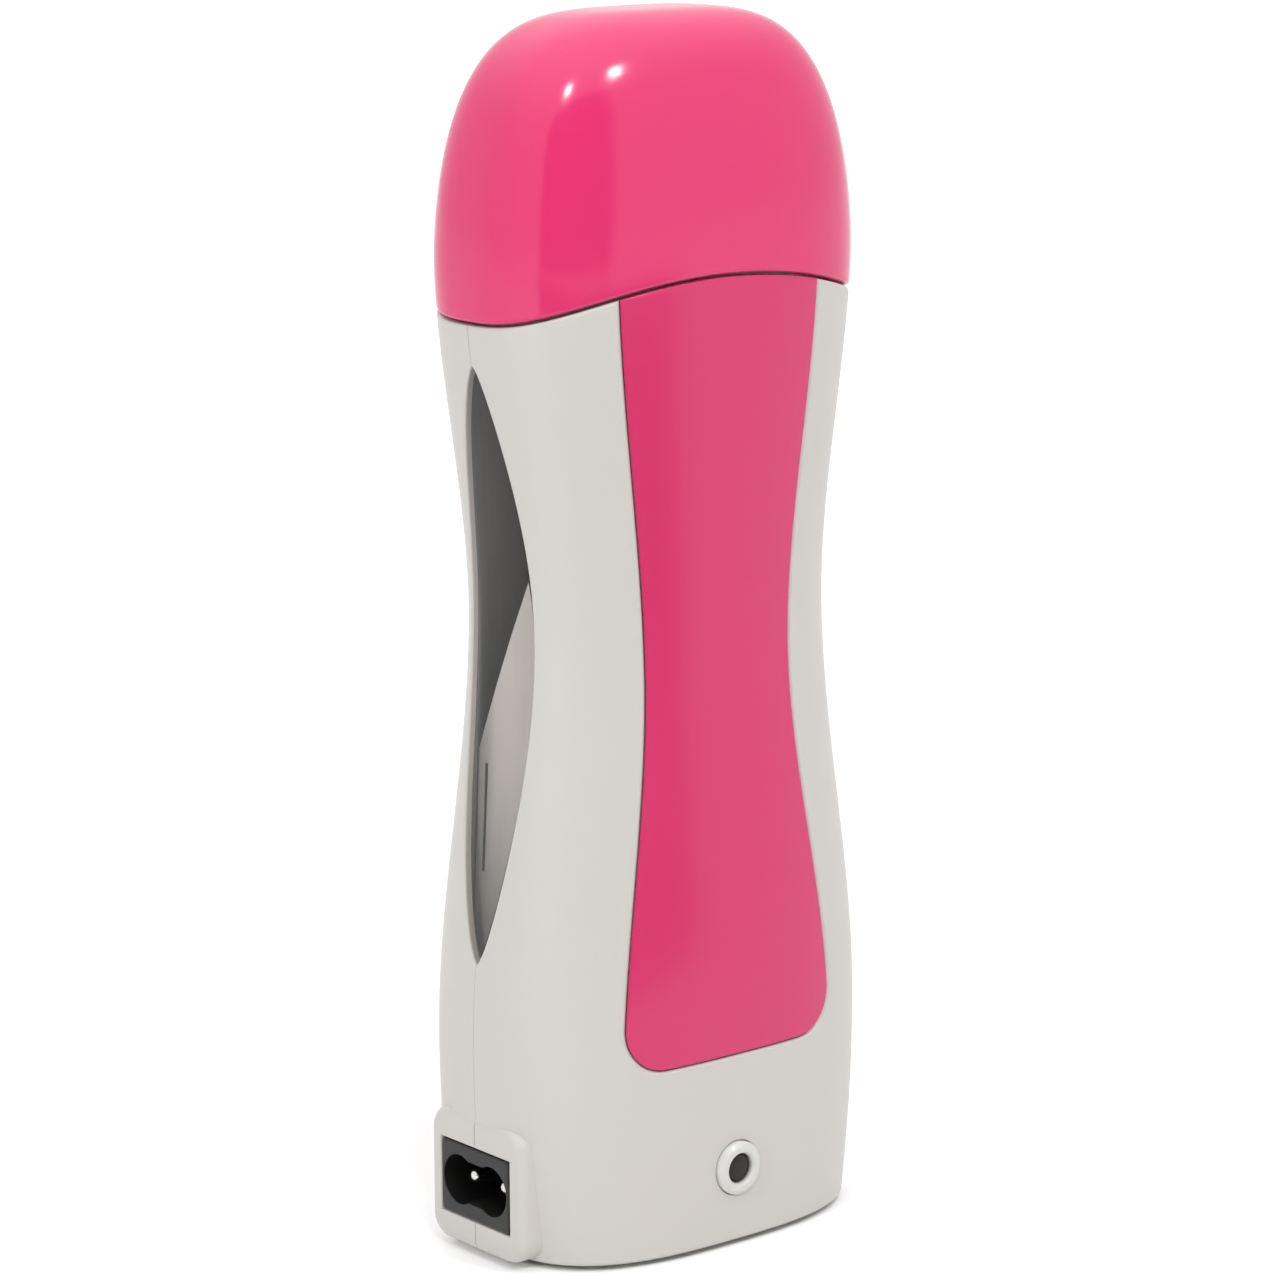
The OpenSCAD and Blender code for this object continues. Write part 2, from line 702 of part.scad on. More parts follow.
// A clear lens: its raised part fills the window, and its lip lies behind the wall
module lens() {
    lens_back = wall + lens_seat + lens_lip_t;
    z0 = window_z - window_h / 2 - 2 * lens_lip;
    z1 = window_z + window_h / 2 + 2 * lens_lip;
    intersection() {
        face_slab(180 - lens_angle, 180 + lens_angle, z0, z1, edge_steps, lens_sink, lens_back);
        window_block(-lens_gap);
    }
    intersection() {
        face_slab(180 - lens_angle, 180 + lens_angle, z0, z1, edge_steps, wall + lens_seat, lens_back);
        window_block(lens_lip);
    }
}

module left_window() {
    color("#8c8882", 0.5) lens();
}

module right_window() {
    color("#8c8882", 0.5) mirror([1, 0, 0]) lens();
}

module feet() {
    color("#3a3834")
    for (side = [0, 1]) mirror([0, side, 0]) foot_places(0, foot_h + foot_seat, foot_d);
}

module case_screws() {
    color("silver")
    for (side = [-1, 1])
        difference() {
            union() {
                bar_y(side * screw_span / 2, screw_z, screw_d, screw_point_y, screw_seat_y + past / 2);
                bar_y(side * screw_span / 2, screw_z, screw_head_d,
                      screw_seat_y, screw_seat_y + screw_head_h);
            }
            for (turn = [0, 90])
                translate([side * screw_span / 2, screw_seat_y + screw_head_h, screw_z])
                    rotate([0, turn, 0]) cube([cross_l, screw_head_h, cross_w], center = true);
        }
}

// ---- Cap and neck -------------------------------------------------------------------

// Rings of the cap at a depth below its face, from a lower edge at z0 to the top
function cap_rings(z0, depth) =
    let (top = height - depth)
    concat([for (z = steps(z0, dome_z, 4)) case_ring(0, 360 - plan_step, z, depth)],
           [for (i = [1 : dome_steps])
            let (turn = 90 * i / dome_steps,
                 z = dome_height(turn, top),
                 k = dome_share(min(turn, last_dome_angle)))
            ring(0, 360 - plan_step, (case_w(z) - depth) * k, (case_d(z) - depth) * k, z)]);

// The cap, with ribs inside it that come to rest on the top of the neck
module cap() {
    color("#eb497b")
    difference() {
        loft(cap_rings(neck_step_z, 0));
        difference() {
            loft(cap_rings(neck_step_z - past, cap_wall));
            for (side = [0, 1], x = [-1, 1]) mirror([0, side, 0])
                translate([x * cap_rib_x - cap_rib_t / 2, neck_high_d - cap_rib_reach,
                           neck_top_z + cap_rib_gap])
                    cube([cap_rib_t, huge, cap_rib_h]);
        }
        under_cap_line(cap_gap / 2);
    }
}

// An upright prism with the plan of the case
module plan_prism(w, d, z0, z1) {
    translate([0, 0, z0]) linear_extrude(z1 - z0) polygon(plan(0, 360 - plan_step, w, d));
}

// An upright prism with the outline of the well, grown all round by grow
module well_prism(grow, z0, z1) {
    translate([0, 0, z0]) linear_extrude(z1 - z0)
        rounded_rect(well_w + 2 * grow, well_d + 2 * grow, well_r + grow);
}

// The neck, with a notch in its lower edge round the tip of each lens
module neck_ring() {
    color("#dcdad6")
    difference() {
        union() {
            plan_prism(neck_low_w, neck_low_d, neck_bottom_z, neck_step_z);
            plan_prism(neck_high_w, neck_high_d, neck_step_z, neck_top_z);
        }
        plan_prism(neck_low_w - neck_wall, neck_low_d - neck_wall, neck_bottom_z - past, deck_z - deck_t);
        plan_prism(neck_high_w - neck_wall, neck_high_d - neck_wall, deck_z, neck_top_z + past);
        well_prism(0, neck_bottom_z, neck_top_z);
        for (side = [0, 1]) mirror([side, 0, 0]) window_block(lens_lip + fit_gap);
    }
}

// ---- Cartridge well and heater ------------------------------------------------------

module cartridge_tray() {
    color("#4a4846")
    difference() {
        union() {
            plan_prism(tray_w, tray_d, tray_bottom_z, well_floor_z);
            difference() {
                well_prism(plate_t + fit_gap + tray_rim_t, well_floor_z, well_floor_z + tray_rim_h);
                well_prism(plate_t + fit_gap, well_floor_z, well_floor_z + tray_rim_h + past);
            }
        }
        for (x = [live_notch_x, neutral_notch_x])
            translate([x, 0, tray_bottom_z - past]) {
                translate([0, lead_y, 0]) cylinder(d = lead_d + 2 * lead_play, h = tray_t + 2 * past);
                translate([-lead_d / 2 - lead_play, lead_y, 0])
                    cube([lead_d + 2 * lead_play, tray_d, tray_t + 2 * past]);
            }
    }
}

// A sheet all round the well
module well_sheet() {
    difference() {
        well_prism(plate_t, well_floor_z, plate_top_z);
        well_prism(0, well_floor_z - past, plate_top_z + past);
    }
}

// The front heat plate wraps round the front of the well, with a tongue on each narrow side
// that closes the slot between the plates up to a slanted edge
module front_heat_plate() {
    tongue_end = plate_slot / 2 - tongue_gap;
    color("#b8bcc0")
    difference() {
        well_sheet();
        rotate([90, 0, 90]) linear_extrude(huge, center = true)
            polygon([[-plate_slot / 2, huge], [-plate_slot / 2, tongue_front_z],
                     [tongue_end, tongue_rear_z], [tongue_end, 0], [huge, 0], [huge, huge]]);
        translate([-huge / 2, slit_y - slit_w / 2, slit_z]) cube([huge, slit_w, slit_h]);
    }
}

module rear_heat_plate() {
    color("#b8bcc0")
    difference() {
        well_sheet();
        translate([-huge / 2, plate_slot / 2 - huge, 0]) cube([huge, huge, huge]);
    }
}

module heating_element() {
    color("#6b4a3a")
    translate([0, plates_d / 2, heater_z]) {
        translate([-heater_w / 2, 0, -heater_h / 2]) cube([heater_w, heater_t, heater_h]);
        for (side = [-1, 1])
            translate([side * terminal_x - terminal_w / 2, (heater_t - terminal_t) / 2,
                       -heater_h / 2 - terminal_l])
                cube([terminal_w, terminal_t, terminal_l + past]);
    }
}

// A spring clip: a bridge over the heating element, on two feet
module heater_clip() {
    span = heater_w / 2 + fit_gap;
    color("#9a9ca0")
    translate([0, plates_d / 2, heater_z - clip_h / 2])
        linear_extrude(clip_h)
        difference() {
            union() {
                translate([-span - clip_t, 0]) square([2 * (span + clip_t), heater_t + clip_t]);
                translate([-span - clip_foot, 0]) square([2 * (span + clip_foot), clip_t]);
            }
            translate([-span, -past]) square([2 * span, heater_t + past]);
        }
}

module thermal_fuse() {
    color("#c9c2a8")
    translate([-fuse_x, fuse_y, fuse_z]) rotate([0, 90, 0]) {
        cylinder(d = fuse_d, h = fuse_l, center = true);
        cylinder(d = fuse_wire_d, h = fuse_l + 2 * fuse_tail, center = true);
    }
}

// ---- Inlet --------------------------------------------------------------------------

module inlet_body() {
    color("#1c1b1a")
    difference() {
        union() {
            inlet_block(0, inlet_l, inlet_w, inlet_h);
            inlet_block(inlet_flat, inlet_flat + flange_t,
                        inlet_w + 2 * flange_reach, inlet_h + 2 * flange_reach);
        }
        inlet_block(-past, socket_depth, pin_span, socket_neck_h);
        for (side = [-1, 1]) {
            inlet_bar(side, -past, socket_depth, socket_lobe_d);
            inlet_bar(side, socket_depth - past, inlet_l + past, pin_d + 2 * screw_play);
        }
    }
}

// A bar along X on the axis of one pin, between two depths behind the face
module inlet_bar(side, x0, x1, d) {
    translate([inlet_x + x0, side * pin_span / 2, inlet_z])
        rotate([0, 90, 0]) cylinder(d = d, h = x1 - x0);
}

module inlet_pins() {
    color("silver")
    for (side = [-1, 1]) {
        inlet_bar(side, pin_recess + pin_tip_l, inlet_l, pin_d);
        translate([inlet_x + pin_recess, side * pin_span / 2, inlet_z]) rotate([0, 90, 0])
            cylinder(d1 = pin_tip_d, d2 = pin_d, h = pin_tip_l);
        translate([inlet_x + inlet_l, side * pin_span / 2 - tail_t / 2, inlet_z - pin_d / 2])
            cube([tail_l, tail_t, pin_d]);
    }
}

// ---- Indicator ----------------------------------------------------------------------

// A ring pressed into the front wall, with a beveled face round the hole
module indicator_bezel() {
    color("#e0dfdb")
    translate([0, -case_d(lamp_z), lamp_z]) rotate([90, 0, 0])
        rotate_extrude()
        polygon([[bezel_hole_d / 2, -wall - past], [bezel_shank_d / 2, -wall - past],
                 [bezel_shank_d / 2, -bezel_seat], [bezel_d / 2, -bezel_seat],
                 [bezel_d / 2, bezel_proud / 2], [bezel_d / 2 - bezel_proud / 2, bezel_proud],
                 [bezel_hole_d / 2 + bezel_proud / 2, bezel_proud], [bezel_hole_d / 2, bezel_proud / 4]]);
}

module indicator_lamp() {
    color("#5a5046") {
        bar_y(0, lamp_z, lamp_d, lamp_tip_y + lamp_edge, board_y);
        translate([0, lamp_tip_y + lamp_edge, lamp_z]) rotate([90, 0, 0])
            cylinder(d1 = lamp_d, d2 = lamp_d - 2 * lamp_edge, h = lamp_edge);
        bar_y(0, lamp_z, lamp_rim_d, board_y - lamp_rim_h, board_y);
        for (side = [-1, 1])
            bar_y(side * lamp_wire_x, lamp_z, lamp_wire_d,
                  board_y - past / 2, board_back_y + lamp_wire_l);
    }
}

module indicator_board() {
    color("#8a6f3c")
    difference() {
        translate([-board_w / 2, board_y, lamp_z - board_h / 2]) cube([board_w, board_t, board_h]);
        for (side = [-1, 1]) {
            bar_y(side * lamp_wire_x, lamp_z, lamp_wire_d + 2 * fit_gap,
                  board_y - past, board_back_y + past);
            bar_y(side * board_post_span / 2, lamp_z, board_screw_d + 2 * fit_gap,
                  board_y - past, board_back_y + past);
        }
    }
}

// A component with a wire at each end, bent down to the rear face of the board
module wired_part(z, d, l, tint) {
    y = board_back_y;
    color(tint)
    translate([0, y + d / 2, z]) rotate([0, 90, 0]) {
        cylinder(d = d, h = l, center = true);
        cylinder(d = wire_d, h = l + 2 * wire_l, center = true);
    }
    color("silver")
    for (side = [-1, 1]) {
        bar_y(side * (l / 2 + wire_l), z, wire_d, y, y + d / 2);
        translate([side * (l / 2 + wire_l), y + d / 2, z]) sphere(d = wire_d);
    }
}

module board_resistor() {
    wired_part(lamp_z + part_offset, resistor_d, resistor_l, "#c8b48c");
}

module board_diode() {
    wired_part(lamp_z - part_offset, diode_d, diode_l, "#2a2a2a");
}

module board_screws() {
    color("silver")
    for (side = [-1, 1]) {
        bar_y(side * board_post_span / 2, lamp_z, board_screw_d,
              board_back_y - board_screw_l, board_back_y + past / 2);
        bar_y(side * board_post_span / 2, lamp_z, board_screw_head_d,
              board_back_y, board_back_y + board_screw_head_h);
    }
}

// ---- Leads --------------------------------------------------------------------------

module live_lead() {
    color("#7a4a2a") lead(live_route, lead_d);
}

module neutral_lead() {
    color("#3a5a9a") lead(neutral_route, lead_d);
}

module fuse_lead() {
    color("#d8d4cc") lead(fuse_route, lead_d);
}

module lamp_leads() {
    color("#b03030") {
        lead(lamp_route_near, thin_lead_d);
        lead(lamp_route_far, thin_lead_d);
    }
}

// ---- The object ---------------------------------------------------------------------

cap();
front_shell();
rear_shell();
front_panel();
rear_panel();
left_window();
right_window();
neck_ring();
cartridge_tray();
front_heat_plate();
rear_heat_plate();
heating_element();
heater_clip();
thermal_fuse();
inlet_body();
inlet_pins();
indicator_bezel();
indicator_lamp();
indicator_board();
board_resistor();
board_diode();
board_screws();
live_lead();
neutral_lead();
fuse_lead();
lamp_leads();
case_screws();
feet();
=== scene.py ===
"""Roll-on wax heater: its visible pieces, finishes, light and camera.

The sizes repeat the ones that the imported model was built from. Meshes are made in millimetres
and brought to metres at the end. A shell, a panel or a lens starts as a flat pattern: its first
coordinate runs round the case from the middle of the front, its second is the height, and its
third is how far a point lies outside the face. The pattern is cut into small faces and then
bent round the case.
"""

import bisect
import math
from types import SimpleNamespace

import bmesh
import bpy
from bpy.props import FloatProperty, FloatVectorProperty, PointerProperty
from mathutils import Matrix, Vector


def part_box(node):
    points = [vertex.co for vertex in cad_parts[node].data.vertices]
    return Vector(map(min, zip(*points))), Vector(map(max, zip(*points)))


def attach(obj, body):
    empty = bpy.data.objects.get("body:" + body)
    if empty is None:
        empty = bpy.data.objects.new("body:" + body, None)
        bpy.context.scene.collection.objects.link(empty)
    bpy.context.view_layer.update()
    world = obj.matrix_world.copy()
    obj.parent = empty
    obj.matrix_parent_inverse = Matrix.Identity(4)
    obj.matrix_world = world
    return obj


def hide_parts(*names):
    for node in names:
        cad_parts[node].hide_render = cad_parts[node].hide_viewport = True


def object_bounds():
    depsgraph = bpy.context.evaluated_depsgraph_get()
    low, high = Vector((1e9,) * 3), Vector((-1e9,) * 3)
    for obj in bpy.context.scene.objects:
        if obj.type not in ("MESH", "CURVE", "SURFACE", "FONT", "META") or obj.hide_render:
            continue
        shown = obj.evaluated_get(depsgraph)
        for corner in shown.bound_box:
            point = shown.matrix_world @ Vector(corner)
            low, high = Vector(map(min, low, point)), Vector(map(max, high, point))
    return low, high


bl_info = {
    "name": "Roll-on wax heater",
    "version": (1, 0, 0),
    "blender": (4, 5, 0),
    "location": "3D View > Sidebar > Wax heater",
    "description": "Builds the pieces of a roll-on wax heater on its packed frame",
    "category": "Object",
}

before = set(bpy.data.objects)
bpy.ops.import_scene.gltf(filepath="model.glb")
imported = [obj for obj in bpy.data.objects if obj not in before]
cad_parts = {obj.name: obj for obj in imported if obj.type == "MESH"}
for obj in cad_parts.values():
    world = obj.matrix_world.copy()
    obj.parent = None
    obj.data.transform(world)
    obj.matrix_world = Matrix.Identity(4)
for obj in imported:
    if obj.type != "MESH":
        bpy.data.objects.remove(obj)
frame_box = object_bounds()

MM = 0.001
CASE_BODY = "body"
CAP_BODY = "cap"
# Smallest length, in millimetres, that counts as a length
TINY = 1e-4
# Angle between two faces from which the edge between them is drawn sharp
SHARP_FROM = math.radians(38)
# Steps round a pattern and up it, in millimetres
ROUND_STEP, RISE_STEP = 1.6, 2.3
# Points round the cap and the neck
SEGMENTS = 176
# How far a bump in a finish reaches, in metres
BUMP_REACH = 0.02 * MM


# ---- Sizes and colours --------------------------------------------------------------------


def length(name, description, default_mm):
    """A length property with its default in millimetres."""
    return FloatProperty(
        name=name,
        description=description,
        default=default_mm * MM,
        min=0,
        precision=5,
        unit="LENGTH",
    )


def watts(name, description, default):
    """A lamp's power."""
    return FloatProperty(name=name, description=description, default=default, min=0, unit="POWER")


def power(name, description, default):
    """A plain number above zero."""
    return FloatProperty(name=name, description=description, default=default, min=0.1)


def strength(name, description, default):
    """How strong a light or a glow is."""
    return FloatProperty(name=name, description=description, default=default, min=0)


def degrees(name, description, default):
    """An angle with its default in degrees."""
    return FloatProperty(
        name=name, description=description, default=math.radians(default), subtype="ANGLE"
    )


def colour(name, description, default):
    """A colour, written as it shows on a screen."""
    return FloatVectorProperty(
        name=name,
        description=description,
        default=default,
        size=3,
        min=0,
        max=1,
        subtype="COLOR_GAMMA",
    )


class CaseSizes(bpy.types.PropertyGroup):
    """Form of the case, which the cap carries on."""

    height: length("Height", "From the feet to the top of the cap", frame_box[1].z / MM)
    base_w: length("Base width", "Width at the bottom edge", 70)
    base_d: length("Base depth", "Depth at the bottom edge", 48.5)
    bulge_w: length("Bulge width", "Width at the bulge", -2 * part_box("inlet_body")[0].x / MM)
    bulge_d: length("Bulge depth", "Depth at the bulge", 47)
    bulge_z: length("Bulge height", "Height of the bulge", 36)
    waist_w: length("Waist width", "Width at the waist", 64.6)
    waist_d: length("Waist depth", "Depth at the waist", 39)
    waist_z: length("Waist height", "Height of the waist", 110)
    shoulder_w: length("Shoulder width", "Width at the shoulder", 77.2)
    shoulder_d: length("Shoulder depth", "Depth at the shoulder", 42)
    shoulder_z: length("Shoulder height", "Height of the shoulder", 172)
    plan_power: power("Plan power", "2 is an ellipse, more is squarer", 2.86)
    foot_h: length("Foot height", "Gap under the case", 0.9)
    base_edge_r: length("Base edge radius", "Rounding of the bottom edge", 0.8)
    wall: length("Wall", "Wall of the shells", 2.4)
    seam_edge_r: length("Seam edge", "Rounding of the edges along the seam of the shells", 0.16)
    line_edge_r: length("Cap line edge", "Rounding of the shells along the cap line", 0.6)


class CapSizes(bpy.types.PropertyGroup):
    """The cap and the line below it."""

    line_z: length("Line height", "Height of the cap line in the middle of the front", 167)
    line_r: length("Line radius", "Radius of the cap line's arch, seen from the front", 111)
    gap: length("Gap", "Gap between cap and case", 0.5)
    wall: length("Wall", "Wall of the cap", 2.1)
    edge_r: length("Edge radius", "Rounding of the cap's lower edge", 0.75)
    dome_z: length("Dome height", "Height where the cap starts to round in", 166)
    rise_power: power("Rise power", "How late the dome leaves the vertical", 2.15)
    top_power: power("Top power", "How flat the top of the dome is", 4.0)


class PanelSizes(bpy.types.PropertyGroup):
    """The inset panels at the front and the rear."""

    bottom_z: length("Bottom height", "Height of a panel's lower edge", 34)
    bottom_w: length("Bottom width", "Width of a panel at its lower edge", 46)
    waist_w: length("Waist width", "Width of a panel at its narrowest", 31.8)
    waist_z: length("Waist height", "Height where a panel is narrowest", 102)
    top_w: length("Top width", "Width of a panel at the height of the shoulder", 43.6)
    corner_r: length("Corner radius", "Radius of the two lower corners", 7.5)
    thickness: length("Thickness", "Thickness of a panel", 1.1)
    gap: length("Gap", "Gap all round a panel", 0.25)
    sink: length("Sink", "How far a panel's face lies below the case's face", 0.1)
    edge_r: length("Edge radius", "Rounding of a panel's edges", 0.3)
    seat_edge_r: length("Seat edge radius", "Rounding of the edge of the recess", 0.65)


class WindowSizes(bpy.types.PropertyGroup):
    """The eye-shaped windows on the narrow sides."""

    mid_z: length("Middle height", "Height of the middle of a window", 102.4)
    tall: length("Height", "From tip to tip", 101.6)
    wide: length("Width", "Width at the middle", 16.8)
    shape_power: power("Shape power", "How full the eye shape is: less is fuller", 0.7)
    gap: length("Gap", "Gap round a lens", 0.15)
    sink: length("Sink", "How far a lens lies below the face of the case", 0.3)
    lip: length("Lip", "How far the lip behind the wall reaches past the window", 1.4)
    lip_t: length("Lip thickness", "Thickness of that lip", 0.9)
    lip_gap: length("Lip gap", "Space between the lip and the wall", 0.1)
    edge_r: length("Edge radius", "Rounding of the opening's edge", 0.4)


class InletSizes(bpy.types.PropertyGroup):
    """The mains inlet and the raised surround round it."""

    wide: length("Width", "Width of the black face", 18.6)
    tall: length("Height", "Height of the black face", 12.8)
    mid_z: length("Middle height", "Height of the middle of the face", 12.8)
    deep: length("Depth", "From the face to the back", 17.5)
    play: length("Play", "Gap round the face", 0.15)
    corner_r: length("Corner radius", "Radius of the corners of the face", 0.7)
    lobe_d: length("Lobe diameter", "Diameter of the socket's round ends", 8.7)
    neck_h: length("Neck height", "Height of the socket between its round ends", 7.4)
    socket_depth: length("Socket depth", "Depth of the socket", 12)
    pin_span: length("Pin spacing", "Distance between the pins", 8.6)
    pin_d: length("Pin diameter", "Diameter of a pin", 2.4)
    pin_recess: length("Pin recess", "How far a pin's tip lies behind the face", 2.7)
    boss_w: length("Surround width", "Width of the raised surround", 25)
    boss_top_z: length("Surround top", "Height of the top of the surround", 24.6)
    boss_bottom_z: length("Surround bottom", "Height of the bottom of the surround", 1.2)
    boss_edge_r: length("Surround edge", "Rounding of the surround's front edge", 1.7)
    boss_corner_r: length("Surround corners", "Radius of the surround's corners", 4)
    flat: length("Flat", "Depth of the flange behind the face", 4.3)
    flange_t: length("Flange thickness", "Thickness of the flange", 2)
    flange_reach: length("Flange reach", "How far the flange reaches past the face", 1.9)


class IndicatorSizes(bpy.types.PropertyGroup):
    """The indicator lamp and the ring round it."""

    mid_z: length("Height", "Height of the lamp", 13.8)
    ring_d: length("Ring diameter", "Outer diameter of the ring", 9.4)
    proud: length("Proud", "How far the ring stands proud", 1.2)
    hole_d: length("Hole diameter", "Diameter of the hole in the ring", 5.3)
    shank_d: length("Shank diameter", "Diameter of the ring's shank", 7.2)
    lamp_d: length("Lamp diameter", "Diameter of the lamp", 5)


class NeckSizes(bpy.types.PropertyGroup):
    """The neck under the cap and the mouth of the well."""

    well_w: length("Well width", "Width of the well", 53.6)
    well_d: length("Well depth", "Depth of the well", 29.6)
    well_r: length("Well corners", "Radius of the well's corners", 12)
    top_z: length("Top height", "Height of the top of the neck", 175)
    wall: length("Wall", "Wall of the neck", 1.4)
    deck_z: length("Deck height", "Height of the deck round the well's mouth", 160)
    deck_t: length("Deck thickness", "Thickness of the deck", 2)
    skirt_z: length("Skirt height", "Height of the neck's lower edge", 155.5)
    bead: length("Bead", "Height of the snap bead round the neck", 0.22)


class ScrewSizes(bpy.types.PropertyGroup):
    """The two case screws and the bosses round them."""

    span: length("Spacing", "Distance between the screws", 46)
    mid_z: length("Height", "Height of the screws", 27.4)
    shank_d: length("Shank diameter", "Diameter of a screw", 2.9)
    head_d: length("Head diameter", "Diameter of a screw's head", 5.6)
    head_play: length("Head play", "Space round a head", 0.15)
    boss_wall: length("Boss wall", "Wall round a screw's hole", 1.2)
    seat_y: length("Seat", "Distance of the heads' seat from the seam", 11)


class FinishColours(bpy.types.PropertyGroup):
    """Colours of the finishes."""

    cap: colour("Cap", "Glossy pink of the cap", (0.875, 0.190, 0.430))
    panel: colour("Panels", "Satin pink of the panels", (0.835, 0.178, 0.405))
    case: colour("Case", "Warm white of the shells", (0.808, 0.795, 0.772))
    ring: colour("Ring", "White of the ring round the lamp", (0.850, 0.846, 0.830))
    lamp: colour("Lamp", "Unlit lamp", (0.120, 0.095, 0.070))
    inlet: colour("Inlet", "Black of the inlet", (0.085, 0.080, 0.078))
    lens: colour("Windows", "Tint of the windows", (0.930, 0.920, 0.910))
    plate: colour("Heat plates", "Aluminium of the plates", (0.930, 0.930, 0.935))
    foot: colour("Feet", "Dark rubber", (0.200, 0.190, 0.180))


class StageSettings(bpy.types.PropertyGroup):
    """Camera, lights and floor."""

    turn: degrees("Turn", "How far to the left the camera stands", 39.52)
    rise: degrees("Rise", "How far above the horizon the camera stands", 12.02)
    roll: degrees("Roll", "Turn of the picture", -0.226)
    distance: length("Distance", "From the camera to the point it looks at", 751)
    lens: power("Lens", "Focal length in millimetres for a frame 36 mm wide", 123.36)
    aim_z: length("Aim height", "Height of the point that the camera looks at", 102.33)
    aim_side: FloatProperty(
        name="Aim side",
        description="How far right of the axis it looks",
        default=-1.243 * MM,
        unit="LENGTH",
    )
    key_left: watts("Left lamp", "Power of the small lamp on the left", 1.56)
    key_right: watts("Right lamp", "Power of the small lamp on the right", 1.75)
    top_light: watts("Top softbox", "Power of the softbox above", 2.02)
    window_light: watts("Window lamp", "Power of the lamp that shines into the left window", 2.4)
    rear_light: watts("Rear lamp", "Power of the lamp that lights the back", 2.2)
    ambient: strength("Ambient", "Strength of the even light", 0.435)
    ceiling: strength("Ceiling", "How much brighter the light is overhead", 0.9)
    floor_lift: strength("Floor lift", "White added to the floor far from the object", 0.55)


GROUPS = {
    "case": CaseSizes,
    "cap": CapSizes,
    "panel": PanelSizes,
    "window": WindowSizes,
    "inlet": InletSizes,
    "indicator": IndicatorSizes,
    "neck": NeckSizes,
    "screw": ScrewSizes,
    "finish": FinishColours,
    "stage": StageSettings,
}


def group(scene, name):
    """The property group of that name on the scene."""
    return getattr(scene, "wax_heater_" + name)


def in_mm(values):
    """A property group as plain numbers, with its lengths in millimetres."""
    plain = SimpleNamespace()
    for name in values.__annotations__:
        value = getattr(values, name)
        if values.bl_rna.properties[name].unit == "LENGTH":
            value /= MM
        setattr(plain, name, value)
    return plain


# ---- Form of the case ---------------------------------------------------------------------


def clamp(value, low=0.0, high=1.0):
    """value kept between low and high."""
    return max(low, min(high, value))


def blend(z, z0, z1, v0, v1):
    """v0 below z0, v1 above z1, and an even S between them."""
    t = clamp((z - z0) / (z1 - z0))
    return v0 + (v1 - v0) * t * t * (3 - 2 * t)


class Run:
    """Length along a curve that is given by a function of one number, and back again."""

    def __init__(self, curve, start, end, steps=1440):
        self.numbers = [start + (end - start) * i / steps for i in range(steps + 1)]
        points = [Vector(curve(n)) for n in self.numbers]
        self.lengths = [0.0]
        for a, b in zip(points, points[1:]):
            self.lengths.append(self.lengths[-1] + (b - a).length)
        self.total = self.lengths[-1]

    @staticmethod
    def _read(value, keys, values):
        i = clamp(bisect.bisect_right(keys, value) - 1, 0, len(keys) - 2)
        span = keys[i + 1] - keys[i]
        share = clamp((value - keys[i]) / span) if span else 0.0
        return values[i] + (values[i + 1] - values[i]) * share

    def number_at(self, run):
        """The curve's number where that length is reached."""
        return self._read(run, self.lengths, self.numbers)

    def length_at(self, number):
        """Length along the curve up to a number."""
        return self._read(number, self.numbers, self.lengths)


